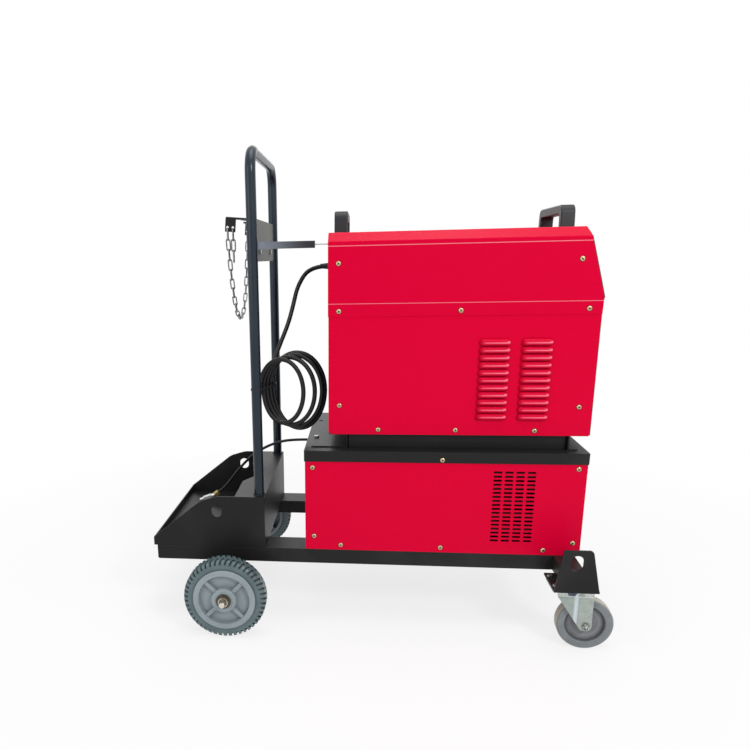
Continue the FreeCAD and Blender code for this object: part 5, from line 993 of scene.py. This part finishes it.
def linkPath():  # (x, y, thickness) round a link, one bend and the straight side after it at a time
    c = linkSpec
    straight = c["halfLength"] - c["halfWidth"]
    path = []
    for end in (1, -1):
        for n in range(c["bendSteps"] + 1):
            angle = math.pi * n / c["bendSteps"]
            x = end * c["halfWidth"] * math.cos(angle)
            y = end * (straight + c["halfWidth"] * math.sin(angle))
            path.append((x, y, 1.0))
        for share in c["stations"]:
            welded = end == 1 and abs(share) < c["weldHalf"]
            path.append((-end * c["halfWidth"], end * straight * share, c["weld"] if welded else 1.0))
    return path


def linkMesh():
    path = linkPath()
    stations = []
    for n, (x, y, thickness) in enumerate(path):
        before = path[n - 1]
        after = path[(n + 1) % len(path)]
        along = Vector((after[0] - before[0], after[1] - before[1], 0)).normalized()
        across = along.cross(Vector((0, 0, 1)))
        stations.append((Vector((x, y, 0)), across, linkSpec["wire"] * thickness))
    return ringTube("chainLink", stations, linkSpec["around"], "chain")


def linkSpots(name):
    spots = []
    for points in looseParts(name):
        centre, axes = partFrame(points)
        turn = Matrix((axes[1], axes[0], axes[1].cross(axes[0]))).transposed().to_4x4()
        spots.append(Matrix.Translation(centre) @ turn)
    return spots


link = linkMesh()
for name, pieceName in (("bottle_chain", "bottleChainLinks"), ("chain_tail", "chainTailLinks")):
    piece = copies(pieceName, link, linkSpots(name), bodyOf[name])
    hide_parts(name)
print("chain hung")


# cords: the points repeat the tubes' routes
mainsCord = {
    "diameter": 0.0115,
    "length": 2.4228,
    "route": [(241, 80, 899), (192, 80, 899), (160, 52, 852), (150, 16, 800), (141, -25, 757),
              (124, -70, 710), (108, -109.78, 663.41)],
    "turns": 4, "pointsPerQuarter": 4,
    "backY": -113.0, "layer": 13.0,
    "leftX": 108.0, "leftStep": -7.0,
    "rightX": 243.0, "rightStep": -1.5, "rightGrowth": -5.3,
    "topZ": 694.0, "topStep": -4.0, "topShift": 4.0,
    "bottomZ": 494.0, "bottomStep": 7.5,
    "middleZ": 604.0, "rightDrop": 6.0,
    "tail": 11.5, "tailLean": 0.6,
}
gasHose = {
    "diameter": 0.008,
    "length": 0.3468,
    "route": [(182.1, 90, 413), (132, 90, 413), (82, 99, 400), (34, 112, 374), (-8, 119, 339),
              (-44, 122, 296), (-76, 120, 254), (-96, 117.5, 239)],
}
cordFineness = {"alongSteps": 6, "roundSteps": 4}


def coilCorners():  # the left, bottom, right and top of each turn, layer by layer to the front
    c = mainsCord
    drift = c["layer"] / 4
    corners = []
    for turn in range(c["turns"] + 1):
        left = c["leftX"] + c["leftStep"] * turn
        right = c["rightX"] + c["rightStep"] * turn + c["rightGrowth"] * turn * turn
        middle = (left + right) / 2
        y = c["backY"] - c["layer"] * turn
        corners.append(Vector((left, y, c["middleZ"])))
        if turn < c["turns"]:
            corners.append(Vector((middle, y - drift, c["bottomZ"] + c["bottomStep"] * turn)))
            corners.append(Vector((right, y - 2 * drift, c["middleZ"] - c["rightDrop"])))
            corners.append(Vector((middle - c["topShift"], y - 3 * drift, c["topZ"] + c["topStep"] * turn)))
    return corners


def coilPoints():
    c = mainsCord
    corners = coilCorners()
    points = []
    for n, (here, there) in enumerate(zip(corners, corners[1:])):
        centre = Vector((there.x, 0, here.z)) if n % 2 == 0 else Vector((here.x, 0, there.z))
        for step in range(c["pointsPerQuarter"]):
            part = step / c["pointsPerQuarter"]
            angle = part * math.pi / 2
            point = centre + (here - centre) * math.cos(angle) + (there - centre) * math.sin(angle)
            point.y = here.y + (there.y - here.y) * part
            points.append(point)
    return points + [corners[-1], corners[-1] - Vector((0, c["tailLean"], c["tail"]))]


def cordCurve(name, points, diameter):
    data = bpy.data.curves.new(name, "CURVE")
    data.dimensions = "3D"
    data.resolution_u = cordFineness["alongSteps"]
    data.bevel_depth = diameter / 2
    data.bevel_resolution = cordFineness["roundSteps"]
    data.use_fill_caps = True
    spline = data.splines.new("NURBS")
    spline.points.add(len(points) - 1)
    for control, point in zip(spline.points, points):
        control.co = (*at(*point), 1)
    spline.order_u = 3
    spline.use_endpoint_u = True
    data.materials.append(finishes["cord"])
    return newPiece(name, data, "cart")


mains = cordCurve("mainsCord", mainsCord["route"] + coilPoints(), mainsCord["diameter"])
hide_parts("mains_cable", "mains_coil")
at(*mainsCord["route"][0])
hose = cordCurve("gasHoseCord", gasHose["route"], gasHose["diameter"])
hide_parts("gas_hose")
at(*gasHose["route"][0])


# strain relief: a ribbed rubber boot that tapers along the mains lead from its gland
bootSpec = {
    "length": 0.022, "bore": 0.0058, "root": 0.0082, "tip": 0.0064, "collar": 0.003, "sides": 32,
    "ribs": 5, "ribsFrom": 0.0036, "ribsRun": 0.017, "groove": 0.0006,
    "rib": [(0, 0), (0.6, 0), (0.68, 1), (0.92, 1)],  # shares of a rib's run and of the groove's depth
    "edge": 0.001, "mouth": (0.0059, 0.0056),
}


def bootMesh():
    c = bootSpec
    pitch = c["ribsRun"] / c["ribs"]
    profile = [(c["bore"], 0), (c["root"], 0), (c["root"], c["collar"])]
    for n in range(c["ribs"]):
        start = c["ribsFrom"] + n * pitch
        radius = c["root"] + (c["tip"] - c["root"]) * (n + 0.5) / c["ribs"]
        profile += [(radius - c["groove"] * deep, start + pitch * share) for share, deep in c["rib"]]
    profile.append((c["tip"], c["length"] - c["edge"]))
    profile += [(radius, c["length"]) for radius in c["mouth"]]
    mesh = lathe(profile, c["sides"], "strainRelief", ["plastic"])
    mesh.transform(Matrix.Translation(at(*mainsCord["route"][0])) @ Matrix.Rotation(-math.pi / 2, 4, "Y"))
    return smooth(mesh, angle=40)


boot = newPiece("strainRelief", bootMesh(), "cart")
print("cords laid")


# weld beads round the tubes that stand in the tray's shelf
beadSpec = {
    "places": [(77.3, -200.4, 340.2), (77.3, 200.4, 340.2)], "radius": 0.0130, "size": 0.0021,
    "ripples": 26, "rippleSteps": 4, "rippleDepth": 0.16, "swells": 3, "swellDepth": 0.08, "around": 8,
}


def beadMesh():
    c = beadSpec
    count = c["ripples"] * c["rippleSteps"]
    stations = []
    for n in range(count):
        angle = 2 * math.pi * n / count
        ripple = c["rippleDepth"] * math.sin(angle * c["ripples"])
        swell = c["swellDepth"] * math.sin(angle * c["swells"])
        out = Vector((math.cos(angle), math.sin(angle), 0))
        stations.append((out * c["radius"], out, c["size"] * (1 + ripple + swell)))
    return ringTube("weldBead", stations, c["around"], "black")


beadSpots = [Matrix.Translation(at(*place)) for place in beadSpec["places"]]
beads = copies("tubeWelds", beadMesh(), beadSpots, "cart")
print("welds run")


# swivel cups: the pressed race housing between each caster's plate and its fork
cupSpec = {
    "bore": 0.012, "lip": 0.0300, "lipHeight": 0.0022, "waist": 0.0268, "mouth": 0.0256, "depth": 0.0105,
    "bendSteps": 6, "sides": 64,
}


def cupMesh(name):
    c = cupSpec
    profile = [(c["bore"], 0), (c["lip"], 0)]
    for n in range(c["bendSteps"] + 1):
        turn = math.pi / 2 * n / c["bendSteps"]
        radius = c["lip"] - (c["lip"] - c["waist"]) * math.sin(turn)
        drop = c["lipHeight"] + (c["depth"] - c["lipHeight"]) * (1 - math.cos(turn))
        profile.append((radius, -drop))
    profile.append((c["mouth"], -c["depth"]))
    return smooth(lathe(profile, c["sides"], name, ["cup"]), angle=40)


for sideName, sign in sides.items():
    pieceName = "swivelCup" + sideName.capitalize()
    cup = cupMesh(pieceName)
    seat = at(casterSpec["x"], sign * casterSpec["y"], topOf("caster_fork_" + sideName) * 1000)
    cup.transform(Matrix.Translation(seat))
    newPiece(pieceName, cup, "caster_swivel_" + sideName)
print("swivel cups pressed")


# stage: a pale floor that fades into a white surround, and soft lamps
stageLook = {
    "floor": (0.93, 0.93, 0.93), "floorHalf": 14, "grain": 0.005,
    "fadeFrom": 0.9, "fadeTo": 1.9, "floorGlow": 0.78,
    "world": 0.47,
    "aim": (0, 0, 0.55),
    "lamps": [  # name, place, size, power
        ("keyLamp", (1.9, -2.7, 2.5), 0.7, 48),
        ("fillLamp", (-2.4, -2.2, 1.6), 1.8, 16),
        ("topLamp", (0.2, -0.3, 3.2), 1.8, 30),
        ("backLamp", (-0.6, 2.8, 2.4), 2.0, 22),
    ],
}


def whiteRays(tree):  # 1 for what the camera, gloss and glass see, 0 for light on the object
    kinds = ("Is Camera Ray", "Is Glossy Ray", "Is Transmission Ray")
    return sum(tree.node("ShaderNodeLightPath", {}, {}, kind) for kind in kinds).clamped()


def floorPaint(name):
    s = Shade(name)
    c = stageLook
    base = s.mix(s.noise(40, roughness=0.5), tint(c["floor"], 1 - c["grain"]),
                 tint(c["floor"], 1 + c["grain"]))
    material = s.finish(Base_Color=base, Roughness=0.9, Specular_IOR_Level=0.1)
    near = c["floorGlow"]
    far = s.length(s.place()).ramp(c["fadeFrom"], c["fadeTo"])
    amount = whiteRays(s) * (near + far * (1 - near))
    glow = s.node("ShaderNodeEmission", {}, {"Color": (1, 1, 1), "Strength": 1.0})
    white = s.node("ShaderNodeMixShader", {}, {0: amount, 1: Val(s, s.surface.outputs[0]), 2: glow})
    s.feed(s.output.inputs[0], white)
    return material


def makeFloor():
    half = stageLook["floorHalf"]
    bm = bmesh.new()
    bm.faces.new([bm.verts.new((x * half, y * half, 0)) for x, y in ((-1, -1), (1, -1), (1, 1), (-1, 1))])
    mesh = meshFrom(bm, "floorSheet")
    floor = bpy.data.objects.new("floorSheet", mesh)
    bpy.context.scene.collection.objects.link(floor)
    mesh.materials.append(floorPaint("paleFloor"))


def makeWorld():
    world = bpy.data.worlds.new("studio")
    world.use_nodes = True
    bpy.context.scene.world = world
    tree = NodeTree(world.node_tree)
    level = stageLook["world"]
    strength = level + whiteRays(tree) * (1 - level)
    back = tree.node("ShaderNodeBackground", {}, {"Color": (1, 1, 1), "Strength": strength})
    tree.add("ShaderNodeOutputWorld", {}, {0: back})


def makeLamps():
    for name, place, size, power in stageLook["lamps"]:
        data = bpy.data.lights.new(name, "AREA")
        data.size = size
        data.energy = power
        lamp = bpy.data.objects.new(name, data)
        bpy.context.scene.collection.objects.link(lamp)
        lamp.location = place
        aim = Vector(stageLook["aim"]) - Vector(place)
        lamp.rotation_euler = aim.to_track_quat("-Z", "Y").to_euler()


makeFloor()
makeWorld()
makeLamps()
bpy.context.scene.view_settings.view_transform = "Standard"
print("stage lit")
